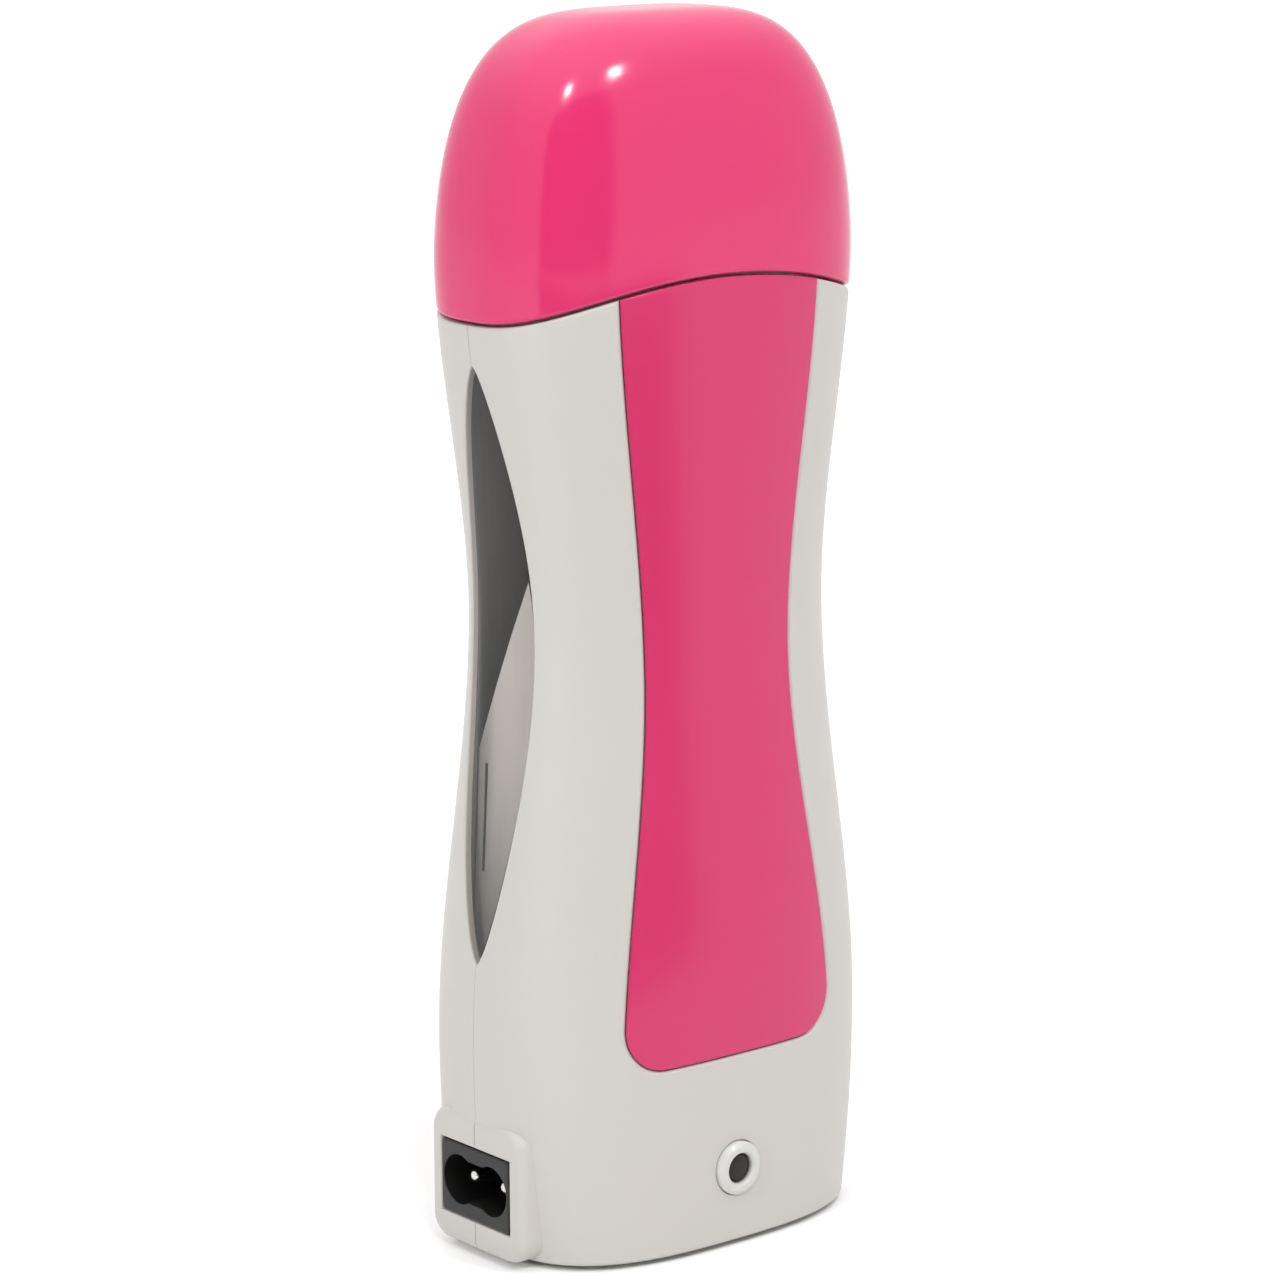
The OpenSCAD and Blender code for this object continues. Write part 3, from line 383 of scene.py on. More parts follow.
class Form:
    """The face of the case and of the cap, in millimetres."""

    FRONT = 1.5 * math.pi
    # How often a height that depends on itself is worked out again
    ROUNDS = 12
    # The search for the cap's edge: how far below its lowest point it starts, and its steps
    SEARCH_MARGIN, HALVINGS = 5, 40

    def __init__(self, scene):
        self.case = in_mm(group(scene, "case"))
        self.cap = in_mm(group(scene, "cap"))
        self.panel = in_mm(group(scene, "panel"))
        self.window = in_mm(group(scene, "window"))
        self.drum_z = self.cap.line_z - self.cap.line_r
        c = self.case
        ref_w = (c.bulge_w + c.waist_w) / 4
        ref_d = (c.bulge_d + c.waist_d) / 4
        self.round = Run(lambda a: (*self.plan(a, ref_w, ref_d), 0), 0, 2 * math.pi)
        self.front_run = self.round.length_at(self.FRONT)
        self.quarter = self.round.total / 4
        self.meridian = Run(
            lambda a: (ref_w * self.dome_share(a), 0, self.dome_height(a, 0)), 0, math.pi / 2
        )

    def half(self, z, base, bulge, waist, shoulder):
        """Half of a size at height z, from the same size at four heights."""
        c = self.case
        if z < c.bulge_z:
            full = bulge - (bulge - base) * ((c.bulge_z - z) / c.bulge_z) ** 2
        elif z < c.waist_z:
            full = blend(z, c.bulge_z, c.waist_z, bulge, waist)
        else:
            full = blend(z, c.waist_z, c.shoulder_z, waist, shoulder)
        return full / 2

    def half_w(self, z):
        """Half the width of the case at height z."""
        c = self.case
        return self.half(z, c.base_w, c.bulge_w, c.waist_w, c.shoulder_w)

    def half_d(self, z):
        """Half the depth of the case at height z."""
        c = self.case
        return self.half(z, c.base_d, c.bulge_d, c.waist_d, c.shoulder_d)

    def plan(self, angle, w, d):
        """Point of the plan outline with half sizes w and d, in a direction from the middle."""
        p = self.case.plan_power
        c, s = math.cos(angle), math.sin(angle)
        r = (abs(c / w) ** p + abs(s / d) ** p) ** (-1 / p)
        return r * c, r * s

    def other_half(self, share):
        """Share of one half size where the plan outline is at a share of the other."""
        p = self.case.plan_power
        return (1 - clamp(abs(share)) ** p) ** (1 / p)

    def angle_at(self, u):
        """Direction in the plan of a pattern point."""
        return self.round.number_at((self.front_run + u) % self.round.total)

    def u_of(self, x, y):
        """Pattern place of a point in the plan, from the middle of the front."""
        run = self.round.length_at(math.atan2(y, x) % (2 * math.pi)) - self.front_run
        return run + self.round.total if run < -self.round.total / 2 - TINY else run

    def u_front(self, x, z):
        """Pattern place of the front face's point at x and z."""
        w, d = self.half_w(z), self.half_d(z)
        return self.u_of(x, -d * self.other_half(x / w))

    def u_left(self, y, z):
        """Pattern place of the left face's point at y and z."""
        w, d = self.half_w(z), self.half_d(z)
        if abs(y) < TINY:
            return -self.quarter
        run = self.round.length_at(math.atan2(y, -w * self.other_half(y / d)) % (2 * math.pi))
        return run - self.front_run

    def on_case(self, u, z, depth=0.0):
        """Point of the case at a depth below its face."""
        x, y = self.plan(self.angle_at(u), self.half_w(z) - depth, self.half_d(z) - depth)
        return Vector((x, y, z))

    def edge_z(self, x):
        """Height of the cap line at a distance from the middle."""
        return self.drum_z + math.sqrt(self.cap.line_r**2 - x * x)

    def shell_top(self, u):
        """Height of the shells' upper edge at a pattern place."""
        z = self.cap.line_z
        for _ in range(self.ROUNDS):
            z = self.edge_z(self.on_case(u, z).x) - self.cap.gap / 2
        return z

    def dome_share(self, turn):
        """Share of its size that the dome has left at a turn from the horizon."""
        return max(math.cos(turn), 0.0) ** (2 / self.cap.top_power)

    def dome_height(self, turn, depth):
        """Height of the dome at a turn from the horizon, at a depth below its face."""
        start, top = self.cap.dome_z, self.case.height - depth
        return start + (top - start) * math.sin(turn) ** (2 / self.cap.rise_power)

    def on_cap(self, u, v, depth):
        """Point of the cap: v runs up from its dome's start, and is negative below it."""
        if v <= 0:
            return self.on_case(u, self.cap.dome_z + v, depth)
        turn = self.meridian.number_at(v)
        z = self.dome_height(turn, depth)
        share = self.dome_share(turn)
        w, d = (self.half_w(z) - depth) * share, (self.half_d(z) - depth) * share
        x, y = self.plan(self.angle_at(u), max(w, TINY), max(d, TINY))
        return Vector((x, y, z))

    def cap_edge(self, u):
        """v of the cap's lower edge at a pattern place."""
        dome_z = self.cap.dome_z
        low = self.edge_z(self.half_w(dome_z)) - dome_z - self.SEARCH_MARGIN
        high = self.meridian.total / 2
        for _ in range(self.HALVINGS):
            v = (low + high) / 2
            p = self.on_cap(u, v, 0)
            if p.z < self.edge_z(p.x) + self.cap.gap / 2:
                low = v
            else:
                high = v
        return v

    def panel_half(self, z):
        """Half width of a panel at height z."""
        p = self.panel
        if z < p.waist_z:
            return blend(z, p.bottom_z, p.waist_z, p.bottom_w, p.waist_w) / 2
        return blend(z, p.waist_z, self.case.shoulder_z, p.waist_w, p.top_w) / 2

    def panel_side(self, grow, steps=44, low_steps=8):
        """Right half of a panel's outline in x and z, from the middle of its lower edge up."""
        p = self.panel
        r = p.corner_r + grow
        low = p.bottom_z - grow
        x0 = self.panel_half(low + r) + grow - r
        side = [(x0 * i / low_steps, low) for i in range(low_steps)]
        side += [
            (x0 + r * math.cos(a), low + r + r * math.sin(a))
            for a in (math.radians(t) for t in range(-90, 1, 10))
        ]
        top = self.cap.line_z
        for _ in range(self.ROUNDS):
            top = self.edge_z(self.panel_half(top) + grow) - self.cap.gap / 2
        z0 = low + r
        for i in range(1, steps + 1):
            z = z0 + (top - z0) * i / steps
            side.append((self.panel_half(z) + grow, z))
        return side

    def window_half(self, share):
        """Half width of a window at a share of its half height."""
        return self.window.wide / 2 * max(1 - share * share, 0) ** self.window.shape_power

    def window_side(self, grow=0.0, steps=48):
        """Distances from the seam and heights along one side of a window, lowest first."""
        w = self.window
        points = []
        for i in range(steps + 1):
            share = math.sin(math.pi * (i / steps - 0.5))
            across = self.window_half(share) + grow * (1 - share * share)
            points.append((across, w.mid_z + share * (w.tall / 2 + grow)))
        return points


# ---- Mesh tools ---------------------------------------------------------------------------


def everything(bm):
    """All that a bmesh operator may work on."""
    return bm.verts[:] + bm.edges[:] + bm.faces[:]


def new_faces_of(made):
    """The faces among what an operator returned."""
    return [e for e in made["geom"] if isinstance(e, bmesh.types.BMFace)]


def new_verts_of(made):
    """The vertices among what an operator returned."""
    return [e for e in made["geom"] if isinstance(e, bmesh.types.BMVert)]


def draw_pattern(sections):
    """A flat face from sections of its outline, each a list of points and an edge rounding.

    A section's last point is the next one's first. Returns the bmesh and the layer that holds
    how much each edge is rounded.
    """
    bm = bmesh.new()
    soft = bm.edges.layers.float.new("bevel_weight_edge")
    bm.faces.layers.int.new("region")
    verts, roundings = [], []
    for points, rounding in sections:
        for point in points[:-1]:
            verts.append(bm.verts.new((point[0], point[1], 0)))
            roundings.append(rounding)
    for i, vert in enumerate(verts):
        edge = bm.edges.new((vert, verts[(i + 1) % len(verts)]))
        edge[soft] = roundings[i]
    bmesh.ops.contextual_create(bm, geom=bm.edges[:])
    bmesh.ops.recalc_face_normals(bm, faces=bm.faces[:])
    if bm.faces[:][0].normal.z < 0:
        bmesh.ops.reverse_faces(bm, faces=bm.faces[:])
    return bm, soft


def vert_at(bm, place):
    """The pattern's vertex nearest to a place."""
    spot = Vector((place[0], place[1], 0))
    return min(bm.verts, key=lambda v: (v.co - spot).length)


def split_pattern(bm, soft, points, rounding):
    """Splits a face of the pattern along a chain whose ends are vertices of its outline."""
    a, b = vert_at(bm, points[0]), vert_at(bm, points[-1])
    chain = [Vector((p[0], p[1], 0)) for p in points[1:-1]]
    probe = chain[len(chain) // 2] if chain else (a.co + b.co) / 2
    shared = [f for f in a.link_faces if b in f.verts]
    face = next((f for f in shared if bmesh.geometry.intersect_face_point(f, probe)), shared[0])
    before = set(bm.edges)
    bmesh.utils.face_split(face, a, b, coords=chain)
    for edge in set(bm.edges) - before:
        edge[soft] = rounding


def face_over(bm, place):
    """The face of the pattern that holds a place."""
    spot = Vector((place[0], place[1], 0))
    return next(f for f in bm.faces if bmesh.geometry.intersect_face_point(f, spot))


def is_level(face):
    """Whether a face of the pattern lies flat."""
    return max(v.co.z for v in face.verts) - min(v.co.z for v in face.verts) < TINY


def whole(faces):
    """Faces with their edges and vertices, so that extruding them leaves none behind."""
    return list({e for f in faces for e in (*f.verts, *f.edges)}) + list(faces)


def raise_faces(bm, faces, height):
    """Extrudes faces of a pattern straight up, and returns the raised ones."""
    made = bmesh.ops.extrude_face_region(bm, geom=whole(faces))
    bmesh.ops.translate(bm, vec=(0, 0, height), verts=new_verts_of(made))
    return new_faces_of(made)


def keep_rounding(bm, soft, faces):
    """Keeps the rounding of these faces' edges and clears that of all others."""
    kept = {e for f in faces for e in f.edges}
    for edge in bm.edges:
        if edge not in kept:
            edge[soft] = 0.0


def apply_rounding(bm, soft, segments=3):
    """Rounds the edges by the amount that their layer holds, and returns the new bmesh."""
    widest = max(e[soft] for e in bm.edges)
    for edge in bm.edges:
        edge[soft] /= widest
    mesh = bpy.data.meshes.new("pattern")
    bm.to_mesh(mesh)
    bm.free()
    holder = bpy.data.objects.new("pattern", mesh)
    bpy.context.scene.collection.objects.link(holder)
    bevel = holder.modifiers.new("Rounding", "BEVEL")
    bevel.limit_method = "WEIGHT"
    bevel.width = widest
    bevel.segments = segments
    bevel.use_clamp_overlap = False
    bevel.miter_outer = "MITER_SHARP"
    rounded = bmesh.new()
    rounded.from_object(holder, bpy.context.evaluated_depsgraph_get())
    bpy.data.objects.remove(holder)
    bpy.data.meshes.remove(mesh)
    return rounded


def chop(bm, places, axis):
    """Cuts the pattern across an axis at each of the places."""
    normal = Vector((0, 0, 0))
    normal[axis] = 1
    for place in places:
        bmesh.ops.bisect_plane(
            bm, geom=everything(bm), dist=TINY, plane_co=normal * place, plane_no=normal
        )


def spread(start, end, step):
    """Even places from start to end, at most a step apart, without the two ends."""
    n = max(2, math.ceil((end - start) / step))
    return [start + (end - start) * i / n for i in range(1, n)]


def bend(bm, place):
    """Moves each vertex to where place puts its pattern point."""
    for vert in bm.verts:
        vert.co = place(*vert.co)


def open_edges(bm, ring):
    """The open edges between the vertices of a ring."""
    members = set(ring)
    return [e for e in bm.edges if e.is_boundary and set(e.verts) <= members]


def sweep_loops(bm, loops, closed=False):
    """A skin through closed loops of as many points each, by extruding one loop to the next."""
    n = len(loops[0])
    made = bmesh.ops.create_circle(bm, cap_ends=False, segments=n, radius=1)
    ring = made["verts"]
    edges = [e for e in bm.edges if set(e.verts) <= set(ring)]
    order = sorted(range(n), key=lambda i: math.atan2(ring[i].co.y, ring[i].co.x) % (2 * math.pi))
    ring = [ring[i] for i in order]
    first = ring
    for vert, point in zip(ring, loops[0]):
        vert.co = point
    for loop in loops[1:]:
        made = bmesh.ops.extrude_edge_only(bm, edges=edges)
        edges = [e for e in made["geom"] if isinstance(e, bmesh.types.BMEdge)]
        fresh = set(new_verts_of(made))
        ring = [next(o for e in v.link_edges if (o := e.other_vert(v)) in fresh) for v in ring]
        for vert, point in zip(ring, loop):
            vert.co = point
    if closed:
        bmesh.ops.bridge_loops(bm, edges=edges + open_edges(bm, first))
    return first, ring


def close_hole(bm, ring):
    """Fills the loop through a ring of vertices with one face."""
    bmesh.ops.edgeloop_fill(bm, edges=open_edges(bm, ring))


def lathe(bm, profile, centre, axis, segments=64):
    """Spins a profile of (radius, distance along the axis) points round an axis."""
    axis = Vector(axis).normalized()
    side = axis.orthogonal().normalized()
    centre = Vector(centre)
    verts = [bm.verts.new(centre + side * r + axis * h) for r, h in profile]
    edges = [bm.edges.new(pair) for pair in zip(verts, verts[1:])]
    bmesh.ops.spin(
        bm,
        geom=verts + edges,
        cent=centre,
        axis=axis,
        angle=2 * math.pi,
        steps=segments,
        use_merge=True,
    )


def rounded_profile(points, steps=4):
    """A profile whose corners are rounded: each point is (radius, distance, rounding)."""
    out = []
    for i, (r, h, rounding) in enumerate(points):
        if rounding == 0 or i in (0, len(points) - 1):
            out.append((r, h))
            continue
        here = Vector((r, h))
        back = (Vector(points[i - 1][:2]) - here).normalized()
        on = (Vector(points[i + 1][:2]) - here).normalized()
        half = back.angle(on) / 2
        reach = rounding / math.tan(half)
        centre = here + (back + on).normalized() * (rounding / math.sin(half))
        a, b = (here + way * reach - centre for way in (back, on))
        for k in range(steps + 1):
            out.append(tuple(centre + a.normalized().slerp(b.normalized(), k / steps) * rounding))
    return out


def new_box(bm, middle, size):
    """Adds a box with its middle and size, and returns its vertices."""
    matrix = Matrix.Translation(middle) @ Matrix.Diagonal((*size, 1))
    return bmesh.ops.create_cube(bm, size=1, matrix=matrix)["verts"]


def linked_object(bm, name):
    """A new object in the scene that holds a finished mesh."""
    mesh = bpy.data.meshes.new(name)
    bm.to_mesh(mesh)
    bm.free()
    thing = bpy.data.objects.new(name, mesh)
    bpy.context.scene.collection.objects.link(thing)
    return thing


def into_piece(bm, name, material, body, nodes):
    """Brings a finished mesh to metres and makes it a piece that rides on a body."""
    bmesh.ops.remove_doubles(bm, verts=bm.verts[:], dist=TINY)
    bmesh.ops.dissolve_degenerate(bm, edges=bm.edges[:], dist=TINY)
    bmesh.ops.recalc_face_normals(bm, faces=bm.faces[:])
    bmesh.ops.scale(bm, vec=(MM, MM, MM), verts=bm.verts[:])
    piece = linked_object(bm, name)
    piece.data.shade_smooth()
    piece.data.set_sharp_from_angle(angle=SHARP_FROM)
    piece.modifiers.new("Even shading", "WEIGHTED_NORMAL").keep_sharp = True
    piece.data.materials.append(material)
    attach(piece, body)
    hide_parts(*nodes)


# ---- Shader groups ------------------------------------------------------------------------


# What a finish's group puts out
LOOK = [
    ("Colour", "NodeSocketColor"),
    ("Roughness", "NodeSocketFloat"),
    ("Height", "NodeSocketFloat"),
]


def node_group(name, inputs, outputs):
    """An empty shader node group with named sockets."""
    tree = bpy.data.node_groups.new(name, "ShaderNodeTree")
    for label, kind, default in inputs:
        socket = tree.interface.new_socket(label, in_out="INPUT", socket_type=kind)
        socket.default_value = default
    for label, kind in outputs:
        tree.interface.new_socket(label, in_out="OUTPUT", socket_type=kind)
    return tree, tree.nodes.new("NodeGroupInput").outputs, tree.nodes.new("NodeGroupOutput").inputs


def noise(tree, scale, detail=3.0, roughness=0.5, stretch=(1, 1, 1)):
    """Noise on Object coordinates: scale is in features per metre."""
    coords = tree.nodes.new("ShaderNodeTexCoord")
    mapping = tree.nodes.new("ShaderNodeMapping")
    mapping.inputs["Scale"].default_value = stretch
    texture = tree.nodes.new("ShaderNodeTexNoise")
    texture.inputs["Detail"].default_value = detail
    texture.inputs["Roughness"].default_value = roughness
    tree.links.new(coords.outputs["Object"], mapping.inputs["Vector"])
    tree.links.new(mapping.outputs["Vector"], texture.inputs["Vector"])
    if isinstance(scale, (int, float)):
        texture.inputs["Scale"].default_value = scale
    else:
        tree.links.new(scale, texture.inputs["Scale"])
    return texture.outputs["Fac"]


def maths(tree, operation, a, b):
    """A Math node on two sockets or numbers."""
    node = tree.nodes.new("ShaderNodeMath")
    node.operation = operation
    for socket, value in zip(node.inputs, (a, b)):
        if isinstance(value, (int, float)):
            socket.default_value = value
        else:
            tree.links.new(value, socket)
    return node.outputs[0]


def swing(tree, value, middle, amount):
    """How far a value lies from its middle, times an amount."""
    return maths(tree, "MULTIPLY", maths(tree, "SUBTRACT", value, middle), amount)


def scaled_colour(tree, tint, factor):
    """A colour made lighter or darker by a factor."""
    node = tree.nodes.new("ShaderNodeVectorMath")
    node.operation = "SCALE"
    tree.links.new(tint, node.inputs[0])
    tree.links.new(factor, node.inputs["Scale"])
    return node.outputs[0]


def moulded_group():
    """Moulded plastic: faint clouds in its colour and gloss, and a fine skin."""
    tree, given, out = node_group(
        "Moulded skin",
        [
            ("Colour", "NodeSocketColor", (0.8, 0.8, 0.8, 1)),
            ("Roughness", "NodeSocketFloat", 0.3),
            ("Cloud", "NodeSocketFloat", 0.05),
            ("Gloss change", "NodeSocketFloat", 0.08),
            ("Grain scale", "NodeSocketFloat", 2500.0),
            ("Ripple", "NodeSocketFloat", 0.3),
        ],
        LOOK,
    )
    clouds = noise(tree, 34.0, 4.0, 0.55)
    level = maths(tree, "ADD", 1.0, swing(tree, clouds, 0.5, given["Cloud"]))
    tree.links.new(scaled_colour(tree, given["Colour"], level), out["Colour"])
    wiped = noise(tree, 70.0, 5.0, 0.6)
    change = swing(tree, wiped, 0.5, given["Gloss change"])
    tree.links.new(maths(tree, "ADD", given["Roughness"], change), out["Roughness"])
    grain = noise(tree, given["Grain scale"], 2.0)
    ripple = noise(tree, 55.0, 1.0)
    height = maths(tree, "ADD", grain, maths(tree, "MULTIPLY", ripple, given["Ripple"]))
    tree.links.new(height, out["Height"])
    return tree


def drawn_group():
    """Drawn or rolled metal: lines in its colour and gloss, and painted shade on the faces turned
    towards the middle.
    """
    tree, given, out = node_group(
        "Drawn metal",
        [
            ("Colour", "NodeSocketColor", (0.6, 0.6, 0.6, 1)),
            ("Roughness", "NodeSocketFloat", 0.3),
            ("Line scale", "NodeSocketFloat", 900.0),
            ("Amount", "NodeSocketFloat", 0.15),
            ("Inner shade", "NodeSocketFloat", 0.0),
        ],
        LOOK,
    )
    # Painted shade: faces whose normal points towards the middle of the case, into the well, are
    # darkened by the inner shade amount.
    facing = tree.nodes.new("ShaderNodeVectorMath")
    facing.operation = "DOT_PRODUCT"
    tree.links.new(tree.nodes.new("ShaderNodeNewGeometry").outputs["Normal"], facing.inputs[0])
    tree.links.new(tree.nodes.new("ShaderNodeTexCoord").outputs["Object"], facing.inputs[1])
    painted_shade_mask = maths(tree, "LESS_THAN", facing.outputs["Value"], 0.0)
    inner = maths(tree, "MULTIPLY", painted_shade_mask, given["Inner shade"])
    lines = noise(tree, given["Line scale"], 3.0, 0.6, stretch=(1, 1, 0.03))
    clouds = noise(tree, 120.0, 3.0)
    mixed = maths(tree, "ADD", lines, maths(tree, "MULTIPLY", clouds, 0.5))
    change = swing(tree, mixed, 0.75, given["Amount"])
    level = maths(tree, "SUBTRACT", maths(tree, "ADD", 1.0, change), inner)
    tree.links.new(scaled_colour(tree, given["Colour"], level), out["Colour"])
    tree.links.new(maths(tree, "ADD", given["Roughness"], change), out["Roughness"])
    tree.links.new(lines, out["Height"])
    return tree


# ---- Materials ----------------------------------------------------------------------------


def linear(tint):
    """A screen colour as the linear colour that a shader takes."""
    return tuple(c / 12.92 if c <= 0.04045 else ((c + 0.055) / 1.055) ** 2.4 for c in tint)


def shared_group(name, build):
    """The node group of that name, built on its first use."""
    return bpy.data.node_groups.get(name) or build()


def grouped_material(name, tree, values, bump, **plain):
    """A Principled material fed by a shader group, with the rest set on its own sockets."""
    material = bpy.data.materials.get(name)
    if material:
        return material
    material = bpy.data.materials.new(name)
    material.use_nodes = True
    nodes, links = material.node_tree.nodes, material.node_tree.links
    shader = nodes["Principled BSDF"]
    look = nodes.new("ShaderNodeGroup")
    look.node_tree = tree
    for label, value in values.items():
        look.inputs[label].default_value = value
    links.new(look.outputs["Colour"], shader.inputs["Base Color"])
    links.new(look.outputs["Roughness"], shader.inputs["Roughness"])
    bumps = nodes.new("ShaderNodeBump")
    bumps.inputs["Strength"].default_value = bump
    bumps.inputs["Distance"].default_value = BUMP_REACH
    links.new(look.outputs["Height"], bumps.inputs["Height"])
    links.new(bumps.outputs["Normal"], shader.inputs["Normal"])
    for label, value in plain.items():
        shader.inputs[label.replace("_", " ")].default_value = value
    return material


def plastic(
    name, tint, roughness, cloud=0.05, change=0.08, grain=2500.0, bump=0.1, ripple=0.3, **plain
):
    """A moulded plastic or rubber."""
    values = {
        "Colour": (*linear(tint), 1),
        "Roughness": roughness,
        "Cloud": cloud,
        "Gloss change": change,
        "Grain scale": grain,
        "Ripple": ripple,
    }
    tree = shared_group("Moulded skin", moulded_group)
    return grouped_material(name, tree, values, bump, **plain)


def metal(name, tint, roughness, lines=900.0, amount=0.15, bump=0.15, metallic=1.0, inner=0.0):
    """A drawn, rolled or plated metal, whose inner amount is painted shade on the faces towards the
    middle.
    """
    values = {
        "Colour": (*linear(tint), 1),
        "Roughness": roughness,
        "Line scale": lines,
        "Amount": amount,
        "Inner shade": inner,
    }
    tree = shared_group("Drawn metal", drawn_group)
    return grouped_material(name, tree, values, bump, Metallic=metallic)


def cap_pink(colours):
    """Glossy pink of the cap."""
    return plastic("Cap pink", colours.cap, 0.15, cloud=0.03, change=0.04, bump=0.04, ripple=0.6)


def panel_pink(colours):
    """Satin pink of the panels."""
    return plastic("Panel pink", colours.panel, 0.2, cloud=0.03, change=0.06, bump=0.06)


def case_white(colours):
    """Satin white of the shells."""
    return plastic("Housing white", colours.case, 0.38, cloud=0.02, change=0.08, bump=0.08)


def ring_white(colours):
    """Glossy white of the ring round the lamp."""
    return plastic("Ring white", colours.ring, 0.24, cloud=0.02)


def inlet_black(colours):
    """Textured black of the inlet."""
    return plastic(
        "Inlet black", colours.inlet, 0.42, cloud=0.1, change=0.15, grain=1400.0, bump=0.5
    )


def lamp_resin(colours):
    """Tinted resin of the unlit lamp."""
    return plastic("Lamp resin", colours.lamp, 0.22, cloud=0.1, Specular_IOR_Level=0.35)


def foot_rubber(colours):
    """Dark rubber of the feet."""
    return plastic("Foot rubber", colours.foot, 0.7, cloud=0.15, change=0.2, grain=1100.0, bump=0.5)


def plate_metal(colours):
    """Blasted aluminium of the heat plates, with painted shade on their faces towards the well."""
    return metal(
        "Plate aluminium", colours.plate, 0.5, lines=600.0, amount=0.12, metallic=0.15, inner=0.62
    )


def lens_clear(colours):
    """Lightly tinted clear plastic, which lets light through to what is behind it."""
    name = "Window clear"
    material = bpy.data.materials.get(name)
    if material:
        return material
    material = bpy.data.materials.new(name)
    material.use_nodes = True
    tree = material.node_tree
    nodes, links = tree.nodes, tree.links
    shader = nodes["Principled BSDF"]
    shader.inputs["IOR"].default_value = 1.42
    shader.inputs["Transmission Weight"].default_value = 1.0
    look = nodes.new("ShaderNodeGroup")
    look.node_tree = shared_group("Moulded skin", moulded_group)
    for label, value in {
        "Colour": (*linear(colours.lens), 1),
        "Roughness": 0.03,
        "Cloud": 0.04,
        "Gloss change": 0.02,
        "Grain scale": 900.0,
        "Ripple": 1.0,
    }.items():
        look.inputs[label].default_value = value
    links.new(look.outputs["Colour"], shader.inputs["Base Color"])
    links.new(look.outputs["Roughness"], shader.inputs["Roughness"])
    see_through = nodes.new("ShaderNodeBsdfTransparent")
    see_through.inputs["Color"].default_value = (*linear(colours.lens), 1)
    paths = nodes.new("ShaderNodeLightPath")
    mix = nodes.new("ShaderNodeMixShader")
    lit = maths(tree, "MAXIMUM", paths.outputs["Is Shadow Ray"], paths.outputs["Is Diffuse Ray"])
    lit = maths(tree, "MAXIMUM", lit, paths.outputs["Is Glossy Ray"])
    links.new(lit, mix.inputs["Fac"])
    links.new(shader.outputs["BSDF"], mix.inputs[1])
    links.new(see_through.outputs["BSDF"], mix.inputs[2])
    links.new(mix.outputs["Shader"], nodes["Material Output"].inputs["Surface"])
    return material


# ---- Shells -------------------------------------------------------------------------------


